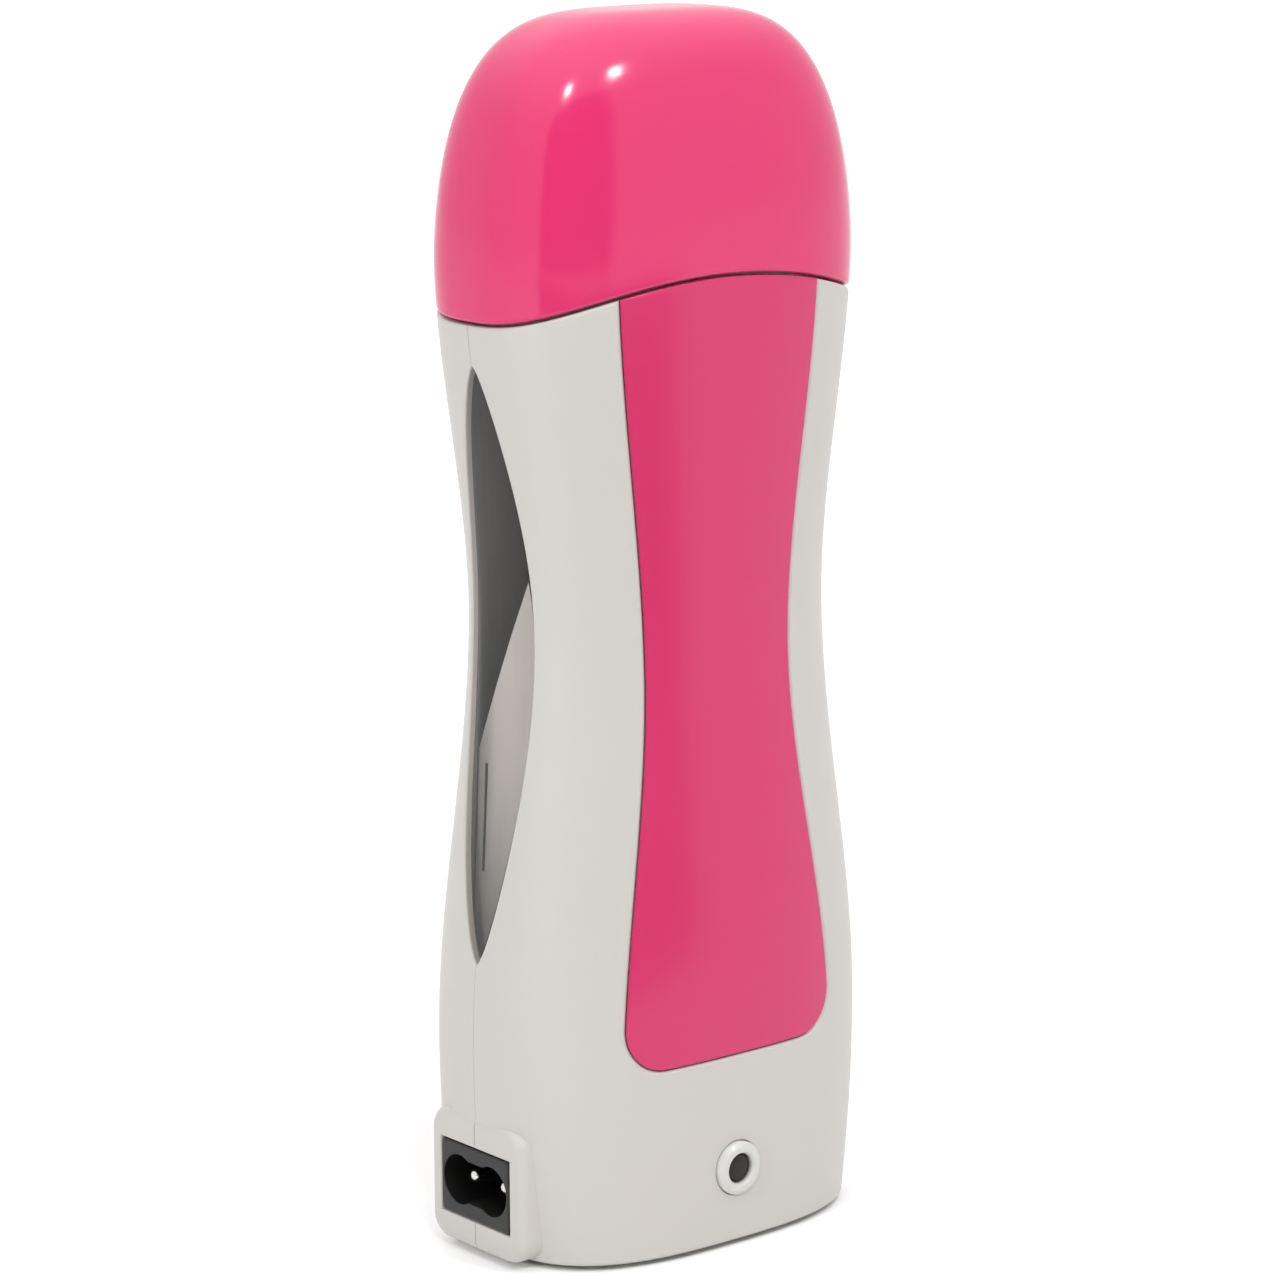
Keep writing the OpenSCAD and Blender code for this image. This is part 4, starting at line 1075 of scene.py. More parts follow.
class ShellPattern:
    """Builds one shell from its flat pattern. The rear one is bent as a mirror image."""

    # How far the pattern of the inlet's surround is raised
    BOSS_RISE = 6.0
    # Gap round the ring of the lamp
    RING_PLAY = 0.15
    # Rounding of the edges of the inlet's opening, the lamp's seat and the screw holes
    OPENING_R, SEAT_R, SCREW_R = 0.3, 0.12, 0.3
    # Spacing of the points along the inlet's opening and its surround
    INLET_STEP = 2
    # Closest that a point of the top edge may come to the corner of the recess
    CORNER_CLEAR = 0.5
    # Height above the foot up to which the pattern is cut more finely, and that step
    LOW_BAND, LOW_STEP = 40, 1.9
    # Small bore left in the front shell's screw bosses
    PILOT_R = 0.4
    # Difference in height within which points count as level
    LEVEL = 0.01

    def __init__(self, scene):
        self.form = Form(scene)
        self.inlet = in_mm(group(scene, "inlet"))
        self.lamp = in_mm(group(scene, "indicator"))
        self.screw = in_mm(group(scene, "screw"))

    def top_edge(self):
        """The cap line from right to left, with a point on each side of the panel's recess."""
        form = self.form
        quarter = form.quarter
        self.seat = form.panel_side(form.panel.gap)
        corner = form.u_front(*self.seat[-1])
        corners = (-corner, corner)
        places = sorted({-quarter, quarter, *corners, *spread(-quarter, quarter, ROUND_STEP)})
        places = [
            u
            for u in places
            if u in corners or min(abs(u - c) for c in corners) > self.CORNER_CLEAR
        ]
        return [(u, form.shell_top(u)) for u in reversed(places)]

    def outline(self, extra_seam_z):
        """Sections of the pattern's outline, each with the rounding of its edges."""
        form, inlet = self.form, self.inlet
        case, quarter = form.case, form.quarter
        seam, sharp = case.seam_edge_r, 0.0
        window = form.window_side()
        right = [(-form.u_left(-y, z), z) for y, z in window]
        left = [(form.u_left(-y, z), z) for y, z in reversed(window)]
        top = self.top_edge()
        y = -(inlet.wide / 2 + inlet.play)
        z0 = inlet.mid_z - inlet.tall / 2 - inlet.play
        z1 = inlet.mid_z + inlet.tall / 2 + inlet.play
        down = [z1, *reversed(spread(z0, z1, self.INLET_STEP)), z0]
        cut = [(form.u_left(y, z), z) for z in down]
        above_inlet = [(-quarter, z) for z in (*extra_seam_z, inlet.boss_top_z, z1)]
        bottom = [(u, case.foot_h) for u in (-quarter, 0.0, quarter)]
        return [
            (bottom, sharp),
            ([bottom[-1]] + [(quarter, z) for z in extra_seam_z] + [right[0]], seam),
            (right, form.window.edge_r),
            ([right[-1], top[0]], seam),
            (top, case.line_edge_r),
            ([top[-1], left[0]], seam),
            (left, form.window.edge_r),
            ([left[-1]] + above_inlet, seam),
            ([(-quarter, z1)] + cut + [(-quarter, z0)], self.OPENING_R),
            ([(-quarter, z0), (-quarter, inlet.boss_bottom_z), bottom[0]], seam),
        ]

    def surround_line(self):
        """The surround's outline from the seam above the inlet to the seam below it."""
        form, inlet = self.form, self.inlet
        r = inlet.boss_corner_r
        y0 = inlet.boss_w / 2 - r
        top, low = inlet.boss_top_z - r, inlet.boss_bottom_z + r
        arc = [math.radians(t) for t in range(0, 91, 10)]
        points = [(0.0, inlet.boss_top_z)]
        points += [(y0 + r * math.sin(a), top + r * math.cos(a)) for a in arc]
        points += [(y0 + r, z) for z in reversed(spread(low, top, self.INLET_STEP))]
        points += [(y0 + r * math.cos(a), low - r * math.sin(a)) for a in arc]
        points.append((0.0, inlet.boss_bottom_z))
        return [(form.u_left(-y, z), z) for y, z in points]

    def circle(self, x, z, r, start, end, steps=24):
        """Pattern points on an arc round a place on the front face, by turn from +x."""
        out = []
        for i in range(steps + 1):
            a = math.radians(start + (end - start) * i / steps)
            px, pz = x + r * math.cos(a), z + r * math.sin(a)
            out.append((self.form.u_front(px, pz), pz))
        return out

    def cut_lamp_seat(self, bm, soft):
        """Cuts the hole for the ring and the seat round it, and returns the seat's faces."""
        form, lamp = self.form, self.lamp
        z = lamp.mid_z
        seat_r, hole_r = (d / 2 + self.RING_PLAY for d in (lamp.ring_d, lamp.shank_d))
        low_seat, high_seat = (0.0, z - seat_r), (0.0, z + seat_r)
        chain = [(0.0, form.case.foot_h), low_seat, *self.circle(0, z, hole_r, -90, 90)]
        chain += [high_seat, self.recess[len(self.recess) // 2]]
        split_pattern(bm, soft, chain, 0.0)
        for r, start, rounding in (
            (hole_r, 270, 0.0),
            (seat_r, -90, self.SEAT_R),
            (seat_r, 270, self.SEAT_R),
        ):
            arc = self.circle(0, z, r, start, 90)[1:-1]
            split_pattern(bm, soft, [(0.0, z - r), *arc, (0.0, z + r)], rounding)
        bmesh.ops.delete(bm, geom=[face_over(bm, (hole_r / 8, z))], context="FACES_ONLY")
        middle = (seat_r + hole_r) / 2
        return [face_over(bm, (middle, z)), face_over(bm, (-middle, z))]

    def cut_screw_holes(self, bm, soft):
        """Cuts the two deep holes of the case screws."""
        form, screw = self.form, self.screw
        z, r, x = screw.mid_z, screw.head_d / 2 + screw.head_play, screw.span / 2
        chain = [(-form.quarter, z)]
        for side in (-1, 1):
            chain += self.circle(side * x, z, r, 180, 0)
        split_pattern(bm, soft, chain + [(form.quarter, z)], 0.0)
        for side in (-1, 1):
            lower = self.circle(side * x, z, r, 180, 360)
            split_pattern(bm, soft, lower, self.SCREW_R)
            upper = self.circle(side * x, z, r, 180, 0)
            spots = {vert_at(bm, p) for p in upper}
            for edge in bm.edges:
                if set(edge.verts) <= spots:
                    edge[soft] = self.SCREW_R
            hole = face_over(bm, (form.u_front(side * x, z), z))
            bmesh.ops.delete(bm, geom=[hole], context="FACES_ONLY")

    def place(self, u, z, level):
        """Where a pattern point lies on the shell."""
        form, case = self.form, self.form.case
        if level > TINY:
            point = form.on_case(u, z)
            point.x = min(point.x, self.face_x + self.BOSS_RISE - level)
            return point
        low = case.base_edge_r - (z - case.foot_h)
        tuck = 0.0
        if low > 0 and level > -case.wall + TINY:
            tuck = case.base_edge_r - math.sqrt(max(case.base_edge_r**2 - low**2, 0))
        return form.on_case(u, z, max(tuck, -level))

    def close_floor(self, bm):
        """Closes the bottom of the bent shell with an outer and an inner floor."""
        case = self.form.case
        rims = [
            open_edges(bm, [v for v in bm.verts if abs(v.co.z - z) < self.LEVEL])
            for z in (case.foot_h, case.foot_h + case.wall)
        ]
        for rim in rims:
            verts = {v for e in rim for v in e.verts}
            across = bm.edges.new([v for v in verts if sum(e in rim for e in v.link_edges) == 1])
            bmesh.ops.edgeloop_fill(bm, edges=rim + [across])
        bmesh.ops.holes_fill(bm, edges=[e for e in bm.edges if e.is_boundary])

    def build(self, rear):
        """The shell's mesh, bent and closed."""
        form, case, inlet = self.form, self.form.case, self.inlet
        self.face_x = -case.bulge_w / 2
        bm, soft = draw_pattern(self.outline([self.screw.mid_z]))
        seat = self.seat
        self.recess = [(-form.u_front(x, z), z) for x, z in reversed(seat)]
        self.recess += [(form.u_front(x, z), z) for x, z in seat[1:]]
        split_pattern(bm, soft, self.recess, form.panel.seat_edge_r)
        split_pattern(bm, soft, self.surround_line(), inlet.boss_edge_r)
        lamp_seat = []
        if rear:
            self.cut_screw_holes(bm, soft)
        else:
            lamp_seat = self.cut_lamp_seat(bm, soft)
        inside_boss = form.u_left(1 - inlet.boss_w / 2, inlet.mid_z)
        boss = face_over(bm, (inside_boss, inlet.mid_z))
        recess = face_over(bm, (0, form.panel.waist_z))
        bmesh.ops.translate(bm, vec=(0, 0, -case.wall), verts=bm.verts[:])
        mark = bm.faces.layers.int["region"]
        for face in lamp_seat + [recess]:
            face[mark] = 1
        boss[mark] = 2
        depth = form.panel.sink + form.panel.thickness
        top = raise_faces(bm, bm.faces[:], case.wall - depth)
        raised = raise_faces(bm, [f for f in top if f[mark] != 1], depth)
        raise_faces(bm, [f for f in raised if f[mark] == 2], self.BOSS_RISE)
        self.clear_inside(bm, soft)
        self.clear_low_roundings(bm, soft)
        bm = apply_rounding(bm, soft)
        r = case.base_edge_r
        fine = [case.foot_h + r * (1 - math.cos(math.radians(a))) for a in (18, 36, 54, 72, 90)]
        chop(bm, fine, 1)
        band_z = case.foot_h + self.LOW_BAND
        chop(bm, spread(case.foot_h + r, band_z, self.LOW_STEP), 1)
        chop(bm, spread(band_z, form.cap.line_z, RISE_STEP), 1)
        chop(bm, spread(-form.quarter, form.quarter, ROUND_STEP), 0)
        bend(bm, self.place)
        bmesh.ops.remove_doubles(bm, verts=bm.verts[:], dist=TINY)
        self.close_floor(bm)
        self.add_screw_bosses(bm, rear)
        if rear:
            bmesh.ops.scale(bm, vec=(1, -1, 1), verts=bm.verts[:])
        return bm

    def clear_inside(self, bm, soft):
        """Makes the inner face plain, opens the bottom and lifts its inner edge to the floor."""
        case = self.form.case
        inner = -case.wall + TINY
        lines = (self.inlet.boss_edge_r, self.form.panel.seat_edge_r)
        plain = [
            e
            for e in bm.edges
            if all(v.co.z < inner for v in e.verts)
            and any(abs(e[soft] - line) < TINY for line in lines)
            and all(is_level(f) for f in e.link_faces)
        ]
        bmesh.ops.dissolve_edges(bm, edges=plain, use_verts=True)
        low = case.foot_h + TINY
        bottom = [
            f for f in bm.faces if not is_level(f) and all(v.co.y < low for v in f.verts)
        ]
        bmesh.ops.delete(bm, geom=bottom, context="FACES")
        for vert in bm.verts:
            if vert.co.z < inner:
                vert.co.y = max(vert.co.y, case.foot_h + case.wall)

    def clear_low_roundings(self, bm, soft):
        """Keeps the rounding only on the outer edges of the raised faces."""
        for edge in bm.edges:
            heights = [v.co.z for v in edge.verts]
            level = abs(heights[0] - heights[1]) < TINY
            outer = min(heights) > -TINY
            if not level or not outer:
                edge[soft] = 0.0
                continue
            on_boss_foot = max(heights) < TINY and any(
                v.co.z > TINY for f in edge.link_faces for v in f.verts
            )
            if on_boss_foot:
                edge[soft] = 0.0

    def add_screw_bosses(self, bm, rear):
        """The tubes round the case screws, from the wall to the seam."""
        form, screw, z = self.form, self.screw, self.screw.mid_z
        bore = screw.head_d / 2 + screw.head_play
        outer = bore + screw.boss_wall
        shank = screw.shank_d / 2 + screw.head_play
        inner = bore if rear else self.PILOT_R
        for side in (-1, 1):
            x = side * screw.span / 2
            reach = -form.on_case(form.u_front(x, z), z).y - form.case.wall / 2
            profile = [(inner, reach), (outer, reach), (outer, 0), (shank, 0)]
            profile += [(shank, screw.seat_y), (inner, screw.seat_y), (inner, reach)]
            lathe(bm, profile, (x, 0, z), (0, -1, 0), 40)
            for vert in bm.verts:
                near = math.hypot(vert.co.x - x, vert.co.z - z) < outer + TINY
                if near and abs(vert.co.y + reach) < TINY:
                    u = form.u_front(vert.co.x, vert.co.z)
                    vert.co.y = form.on_case(u, vert.co.z).y + form.case.wall / 2


class ShellsOperator(bpy.types.Operator):
    """Builds the front and rear shells of the case"""

    bl_idname = "wax_heater.shells"
    bl_label = "Shells"

    def execute(self, context):
        material = case_white(group(context.scene, "finish"))
        for name, rear in (("front_shell_skin", False), ("rear_shell_skin", True)):
            bm = ShellPattern(context.scene).build(rear)
            into_piece(bm, name, material, CASE_BODY, [name.replace("_skin", "")])
        return {"FINISHED"}


# ---- Panels and windows -------------------------------------------------------------------


class PanelsOperator(bpy.types.Operator):
    """Builds the two inset panels"""

    bl_idname = "wax_heater.panels"
    bl_label = "Panels"

    # How far a panel lies above the floor of its recess
    BED = 0.05
    # How far the cuts reach past the panel
    MARGIN = 2

    def execute(self, context):
        form = Form(context.scene)
        panel = form.panel
        material = panel_pink(group(context.scene, "finish"))
        side = form.panel_side(0)
        right = [(form.u_front(x, z), z) for x, z in side]
        left = [(-u, z) for u, z in reversed(right)]
        reach = right[-1][0]
        top = [(u, form.shell_top(u)) for u in reversed(spread(-reach, reach, ROUND_STEP))]
        outline = [(left[:-1] + right, panel.edge_r), ([right[-1], *top, left[0]], panel.edge_r)]
        thick = panel.thickness - self.BED
        half = panel.bottom_w / 2 + self.MARGIN
        for name, turned in (("front_panel_skin", 1), ("rear_panel_skin", -1)):
            bm, soft = draw_pattern(outline)
            bmesh.ops.translate(bm, vec=(0, 0, -panel.sink - thick), verts=bm.verts[:])
            keep_rounding(bm, soft, raise_faces(bm, bm.faces[:], thick))
            bm = apply_rounding(bm, soft)
            chop(bm, spread(panel.bottom_z, form.cap.line_z, RISE_STEP), 1)
            chop(bm, spread(-half, half, ROUND_STEP), 0)
            bend(bm, lambda u, z, level: form.on_case(u, z, -level))
            bmesh.ops.scale(bm, vec=(1, turned, 1), verts=bm.verts[:])
            into_piece(bm, name, material, CASE_BODY, [name.replace("_skin", "")])
        return {"FINISHED"}


class WindowsOperator(bpy.types.Operator):
    """Builds the two clear windows"""

    bl_idname = "wax_heater.windows"
    bl_label = "Windows"

    # Rounding of a lens's outer edge
    EDGE_R = 0.22
    # The cuts of the pattern: their reach past its tips, their reach to each side, and their steps
    TIP_MARGIN, SIDE_REACH, RISE, ROUND = 2, 11, 2.0, 1.4

    def execute(self, context):
        form = Form(context.scene)
        window, wall = form.window, form.case.wall
        material = lens_clear(group(context.scene, "finish"))
        half = window.tall / 2 - window.gap
        for name, turned in (("left_window_lens", 1), ("right_window_lens", -1)):
            side = form.window_side(-window.gap)
            front = [(form.u_left(-max(y, 0), z), z) for y, z in side]
            rear = [(form.u_left(max(y, 0), z), z) for y, z in reversed(side)]
            bm, soft = draw_pattern([(front, self.EDGE_R), (rear, self.EDGE_R)])
            back = wall + window.lip_gap + window.lip_t
            bmesh.ops.translate(bm, vec=(0, 0, -back), verts=bm.verts[:])
            middle = raise_faces(bm, bm.faces[:], window.lip_t)
            rim = [f for f in bm.faces if not is_level(f)]
            raised = raise_faces(bm, middle, back - window.lip_t - window.sink)
            made = bmesh.ops.extrude_face_region(bm, geom=whole(rim))
            for vert in new_verts_of(made):
                share = clamp((vert.co.y - window.mid_z) / half, -1, 1)
                across = form.window_half(share) + window.lip * (1 - share * share)
                z = window.mid_z + share * (window.tall / 2 + window.lip)
                turn = 1 if vert.co.x < -form.quarter else -1
                vert.co.x = form.u_left(turn * across, z)
                vert.co.y = z
            keep_rounding(bm, soft, raised)
            bm = apply_rounding(bm, soft)
            low, high = window.mid_z - half - self.TIP_MARGIN, window.mid_z + half + self.TIP_MARGIN
            chop(bm, spread(low, high, self.RISE), 1)
            left, right = -form.quarter - self.SIDE_REACH, -form.quarter + self.SIDE_REACH
            chop(bm, spread(left, right, self.ROUND), 0)
            bend(bm, lambda u, z, level: form.on_case(u, z, -level))
            bmesh.ops.scale(bm, vec=(turned, 1, 1), verts=bm.verts[:])
            into_piece(bm, name, material, CASE_BODY, [name.replace("_lens", "")])
        return {"FINISHED"}


# ---- Cap and neck -------------------------------------------------------------------------


class CapOperator(bpy.types.Operator):
    """Builds the lift-off cap"""

    bl_idname = "wax_heater.cap"
    bl_label = "Cap"

    DOME_STEPS = 64
    # The small edge between the cap's wall and its lower edge, on the inner side
    INNER_EDGE = 0.15
    # The ribs: place of their middles, size and rounding
    RIB_X, RIB_Y, RIB_SIZE, RIB_R = 12, 17.5, Vector((2, 3.4, 8)), 0.3
    # Gap between the ribs and the top of the neck
    RIB_GAP = 0.05

    def execute(self, context):
        form = Form(context.scene)
        neck = in_mm(group(context.scene, "neck"))
        cap = form.cap
        total = form.meridian.total
        places = [form.round.total * i / SEGMENTS - form.front_run for i in range(SEGMENTS)]
        edges = [form.cap_edge(u) for u in places]
        r = cap.edge_r
        arc = [math.radians(a) for a in range(0, 91, 15)]
        steps = [(i / self.DOME_STEPS) for i in range(1, self.DOME_STEPS)]

        def loop(rise, share, depth):
            """A ring of the cap, by its rise above the edge and its share of the way up."""
            return [
                form.on_cap(u, low + rise + (total - low - rise) * share, depth)
                for u, low in zip(places, edges)
            ]

        inner = [loop(r, s, cap.wall) for s in reversed([0.0] + steps)]
        lower = [loop(self.INNER_EDGE, 0, cap.wall), loop(0, 0, cap.wall - self.INNER_EDGE)]
        rounded = [loop(r * (1 - math.cos(a)), 0, r * (1 - math.sin(a))) for a in arc]
        outer = [loop(r, s, 0) for s in steps]
        bm = bmesh.new()
        first, last = sweep_loops(bm, inner + lower + rounded + outer)
        for ring, depth in ((first, cap.wall), (last, 0)):
            bmesh.ops.pointmerge(bm, verts=ring, merge_co=(0, 0, form.case.height - depth))
        self.add_ribs(bm, neck)
        pink = cap_pink(group(context.scene, "finish"))
        into_piece(bm, "cap_skin", pink, CAP_BODY, ["cap"])
        return {"FINISHED"}

    def add_ribs(self, bm, neck):
        """The four ribs inside the cap that come to rest on the neck."""
        z = neck.top_z + self.RIB_GAP + self.RIB_SIZE.z / 2
        for x in (-self.RIB_X, self.RIB_X):
            for y in (-self.RIB_Y, self.RIB_Y):
                rib = new_box(bm, Vector((x, y, z)), self.RIB_SIZE)
                edges = {e for v in rib for e in v.link_edges}
                bmesh.ops.bevel(
                    bm,
                    geom=list(edges),
                    offset=self.RIB_R,
                    segments=2,
                    profile=0.5,
                    affect="EDGES",
                    material=-1,
                )


def rounded_rect_point(angle, w, d, r):
    """Point of a rounded rectangle with half sizes w and d, in a direction from its middle."""
    c, s = abs(math.cos(angle)), abs(math.sin(angle))
    cx, cy = w - r, d - r
    reach = w / c if c * d > s * w else d / s
    x, y = reach * c, reach * s
    if x > cx and y > cy:
        along = cx * c + cy * s
        reach = along + math.sqrt(max(along**2 - cx**2 - cy**2 + r * r, 0))
        x, y = reach * c, reach * s
    return math.copysign(x, math.cos(angle)), math.copysign(y, math.sin(angle))


class NeckOperator(bpy.types.Operator):
    """Builds the neck under the cap"""

    bl_idname = "wax_heater.neck"
    bl_label = "Neck"

    # Step of the arcs of the rounded edges, in degrees
    ARC = 22
    # Height of the bead: how far its middle lies below the neck's top, and half its height
    BEAD_DROP, BEAD_HALF = 4.5, 0.9
    # Roundings of the top edge, of the fillet on the deck and of the well's mouth
    EDGE_R, FILLET_R, MOUTH_R = 0.45, 0.8, 0.6
    # How far the neck starts below the lowest point of the cap line
    LOW_MARGIN = 2

    def execute(self, context):
        form = Form(context.scene)
        neck = in_mm(group(context.scene, "neck"))
        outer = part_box("neck_ring")[1] / MM
        low_z = form.edge_z(form.case.shoulder_w / 2) - self.LOW_MARGIN
        angles = sorted(form.angle_at(form.round.total * i / SEGMENTS) for i in range(SEGMENTS))

        def plan_loop(inset, z):
            """A ring parallel to the neck's outer wall."""
            return [Vector((*form.plan(a, outer.x - inset, outer.y - inset), z)) for a in angles]

        def well_loop(grow, z):
            """A ring parallel to the well's mouth."""
            w, d, r = neck.well_w / 2 + grow, neck.well_d / 2 + grow, neck.well_r + grow
            return [Vector((*rounded_rect_point(a, w, d, r), z)) for a in angles]

        top, wall, deck = neck.top_z, neck.wall, neck.deck_z
        edge, fillet, mouth = self.EDGE_R, self.FILLET_R, self.MOUTH_R
        arc = [math.radians(t) for t in range(0, 91, self.ARC)]
        bead_z = top - self.BEAD_DROP
        loops = [plan_loop(0, low_z), plan_loop(0, bead_z - self.BEAD_HALF)]
        loops += [
            plan_loop(-neck.bead * math.sin(a), bead_z - self.BEAD_HALF * math.cos(a))
            for a in (math.radians(t) for t in (30, 60, 90, 120, 150))
        ]
        loops.append(plan_loop(0, bead_z + self.BEAD_HALF))
        loops += [
            plan_loop(edge * (1 - math.cos(a)), top - edge + edge * math.sin(a)) for a in arc
        ]
        loops += [
            plan_loop(wall - edge * (1 - math.sin(a)), top - edge + edge * math.cos(a)) for a in arc
        ]
        loops += [
            plan_loop(wall + fillet * (1 - math.cos(a)), deck + fillet * (1 - math.sin(a)))
            for a in arc
        ]
        loops += [
            well_loop(mouth * (1 - math.sin(a)), deck - mouth * (1 - math.cos(a))) for a in arc
        ]
        under = neck.deck_z - neck.deck_t
        skirt = 2 * wall
        loops += [well_loop(0, under), plan_loop(skirt, under), plan_loop(skirt, neck.skirt_z)]
        loops += [plan_loop(wall, neck.skirt_z), plan_loop(wall, low_z)]
        bm = bmesh.new()
        sweep_loops(bm, loops, closed=True)
        white = case_white(group(context.scene, "finish"))
        into_piece(bm, "neck_skin", white, CASE_BODY, ["neck_ring"])
        return {"FINISHED"}


# ---- Inlet --------------------------------------------------------------------------------


def polar_angles(corners, count=120, fine=7, width=math.radians(3.2)):
    """Even directions with finer ones round the given corners."""
    angles = [2 * math.pi * i / count for i in range(count)]
    for corner in corners:
        angles += [corner + width * (2 * k / (fine - 1) - 1) for k in range(fine)]
    return sorted({round(a % (2 * math.pi), 6) for a in angles})


class InletOperator(bpy.types.Operator):
    """Builds the mains inlet and its pins"""

    bl_idname = "wax_heater.inlet"
    bl_label = "Mains inlet"

    # Rounding of the face's outer edge and of the socket's rim
    FACE_R, RIM_R = 0.35, 0.15
    # How much narrower the socket is at its bottom, on each side
    DRAFT = 0.1
    # Rounding of a pin's tip, and length and thickness of its flat tail
    TIP_R, TAIL_L, TAIL_T = 0.9, 5, 0.8

    def execute(self, context):
        inlet = in_mm(group(context.scene, "inlet"))
        colours = group(context.scene, "finish")
        face_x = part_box("inlet_body")[0].x / MM
        lobe, middle, half = inlet.lobe_d / 2, inlet.pin_span / 2, inlet.neck_h / 2
        waist = math.atan2(half, middle - math.sqrt(lobe**2 - half**2))
        corner = math.atan2(inlet.tall, inlet.wide)
        turns = (corner, waist, math.pi - corner, math.pi - waist)
        angles = polar_angles([side * a for a in turns for side in (-1, 1)])

        def at(points, depth):
            """A ring across the inlet at a depth behind its face."""
            return [Vector((face_x + depth, -y, inlet.mid_z + z)) for y, z in points]

        def block(grow, depth):
            """A ring of the block, grown by an amount."""
            w, h = inlet.wide / 2 + grow, inlet.tall / 2 + grow
            return at([rounded_rect_point(a, w, h, inlet.corner_r) for a in angles], depth)

        def socket(grow, depth):
            """A ring of the socket, grown by an amount."""
            points = []
            for a in angles:
                c, s = abs(math.cos(a)), abs(math.sin(a))
                reach = 0.0
                if lobe + grow > middle * s:
                    reach = middle * c + math.sqrt((lobe + grow) ** 2 - (middle * s) ** 2)
                if s > TINY and (half + grow) / s * c < middle:
                    reach = max(reach, (half + grow) / s)
                points.append((reach * math.cos(a), reach * math.sin(a)))
            return at(points, depth)

        edge, rim = self.FACE_R, self.RIM_R
        arc = [math.radians(t) for t in (0, 30, 60, 90)]
        reach, back = inlet.flange_reach, inlet.flat + inlet.flange_t
        loops = [block(0, inlet.deep), block(0, back), block(reach, back)]
        loops += [block(reach, inlet.flat), block(0, inlet.flat)]
        loops += [block(-edge * (1 - math.cos(a)), edge * (1 - math.sin(a))) for a in arc]
        loops += [socket(rim * (1 - math.sin(a)), rim * (1 - math.cos(a))) for a in arc]
        loops += [socket(-self.DRAFT, inlet.socket_depth)]
        bm = bmesh.new()
        first, last = sweep_loops(bm, loops)
        close_hole(bm, first)
        close_hole(bm, last)
        black = inlet_black(colours)
        into_piece(bm, "inlet_body_block", black, CASE_BODY, ["inlet_body"])
        self.build_pins(inlet, face_x)
        return {"FINISHED"}

    def build_pins(self, inlet, face_x):
        """Two round pins with rounded tips and flat tails."""
        bm = bmesh.new()
        r, tip, z = inlet.pin_d / 2, self.TIP_R, inlet.mid_z
        shank = inlet.deep - inlet.pin_recess
        arc = [math.radians(t) for t in range(0, 91, 15)]
        profile = [(0.0, 0.0)]
        profile += [(r - tip + tip * math.sin(a), tip * (1 - math.cos(a))) for a in arc]
        profile += [(r, shank), (0.0, shank)]
        for y in (-inlet.pin_span / 2, inlet.pin_span / 2):
            lathe(bm, profile, (face_x + inlet.pin_recess, y, z), (1, 0, 0), 40)
            middle = Vector((face_x + inlet.deep + self.TAIL_L / 2, y, z))
            new_box(bm, middle, (self.TAIL_L, self.TAIL_T, inlet.pin_d))
        pins = metal("Pin nickel", (0.86, 0.85, 0.82), 0.16, lines=2000.0, amount=0.08)
        into_piece(bm, "inlet_pin_pair", pins, CASE_BODY, ["inlet_pins"])


# ---- Indicator and feet -------------------------------------------------------------------


class IndicatorOperator(bpy.types.Operator):
    """Builds the ring and the lamp on the front"""

    bl_idname = "wax_heater.indicator"
    bl_label = "Indicator"

    # The lamp's wires: radius, distance from the middle, start inside the lamp and end behind it
    WIRE_R, WIRE_X, WIRE_START, WIRE_END = 0.25, 1.27, 0.2, 2.8
    # Depth of the ring's shoulder below the face of the case
    SEAT = 0.4

    def execute(self, context):
        form = Form(context.scene)
        lamp = in_mm(group(context.scene, "indicator"))
        colours = group(context.scene, "finish")
        face_y = -form.half_d(lamp.mid_z)
        centre = (0, face_y, lamp.mid_z)
        out = (0, -1, 0)
        ring, hole, shank = lamp.ring_d / 2, lamp.hole_d / 2, lamp.shank_d / 2
        deep, proud = form.case.wall + 1, lamp.proud
        corners = [
            (hole, -deep, 0),
            (shank, -deep, 0.2),
            (shank, -self.SEAT, 0),
            (ring, -self.SEAT, 0),
            (ring, proud * 0.45, 0.25),
            (ring - proud * 0.65, proud, 0.45),
            (hole + 0.35, proud, 0.25),
            (hole, proud * 0.6, 0.2),
            (hole, -deep, 0),
        ]
        bm = bmesh.new()
        lathe(bm, rounded_profile(corners), centre, out, 72)
        white = ring_white(colours)
        into_piece(bm, "indicator_ring", white, CASE_BODY, ["indicator_bezel"])
        bm = bmesh.new()
        r = lamp.lamp_d / 2
        tip = -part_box("indicator_lamp")[0].y / MM + face_y
        base = -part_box("indicator_board")[0].y / MM + face_y
        corners = [(0, tip, 0), (r * 0.5, tip - 0.05, 0.5), (r, tip - 0.2, 0.4)]
        corners += [(r, base + 1, 0), (r + 0.4, base + 1, 0), (r + 0.4, base, 0), (0, base, 0)]
        lathe(bm, rounded_profile(corners), centre, out, 56)
        near, far = base + self.WIRE_START, base - self.WIRE_END
        for x in (-self.WIRE_X, self.WIRE_X):
            wire = [(0, near), (self.WIRE_R, near), (self.WIRE_R, far), (0, far)]
            lathe(bm, wire, (x, face_y, lamp.mid_z), out, 12)
        resin = lamp_resin(colours)
        into_piece(bm, "indicator_lamp_body", resin, CASE_BODY, ["indicator_lamp"])
        return {"FINISHED"}


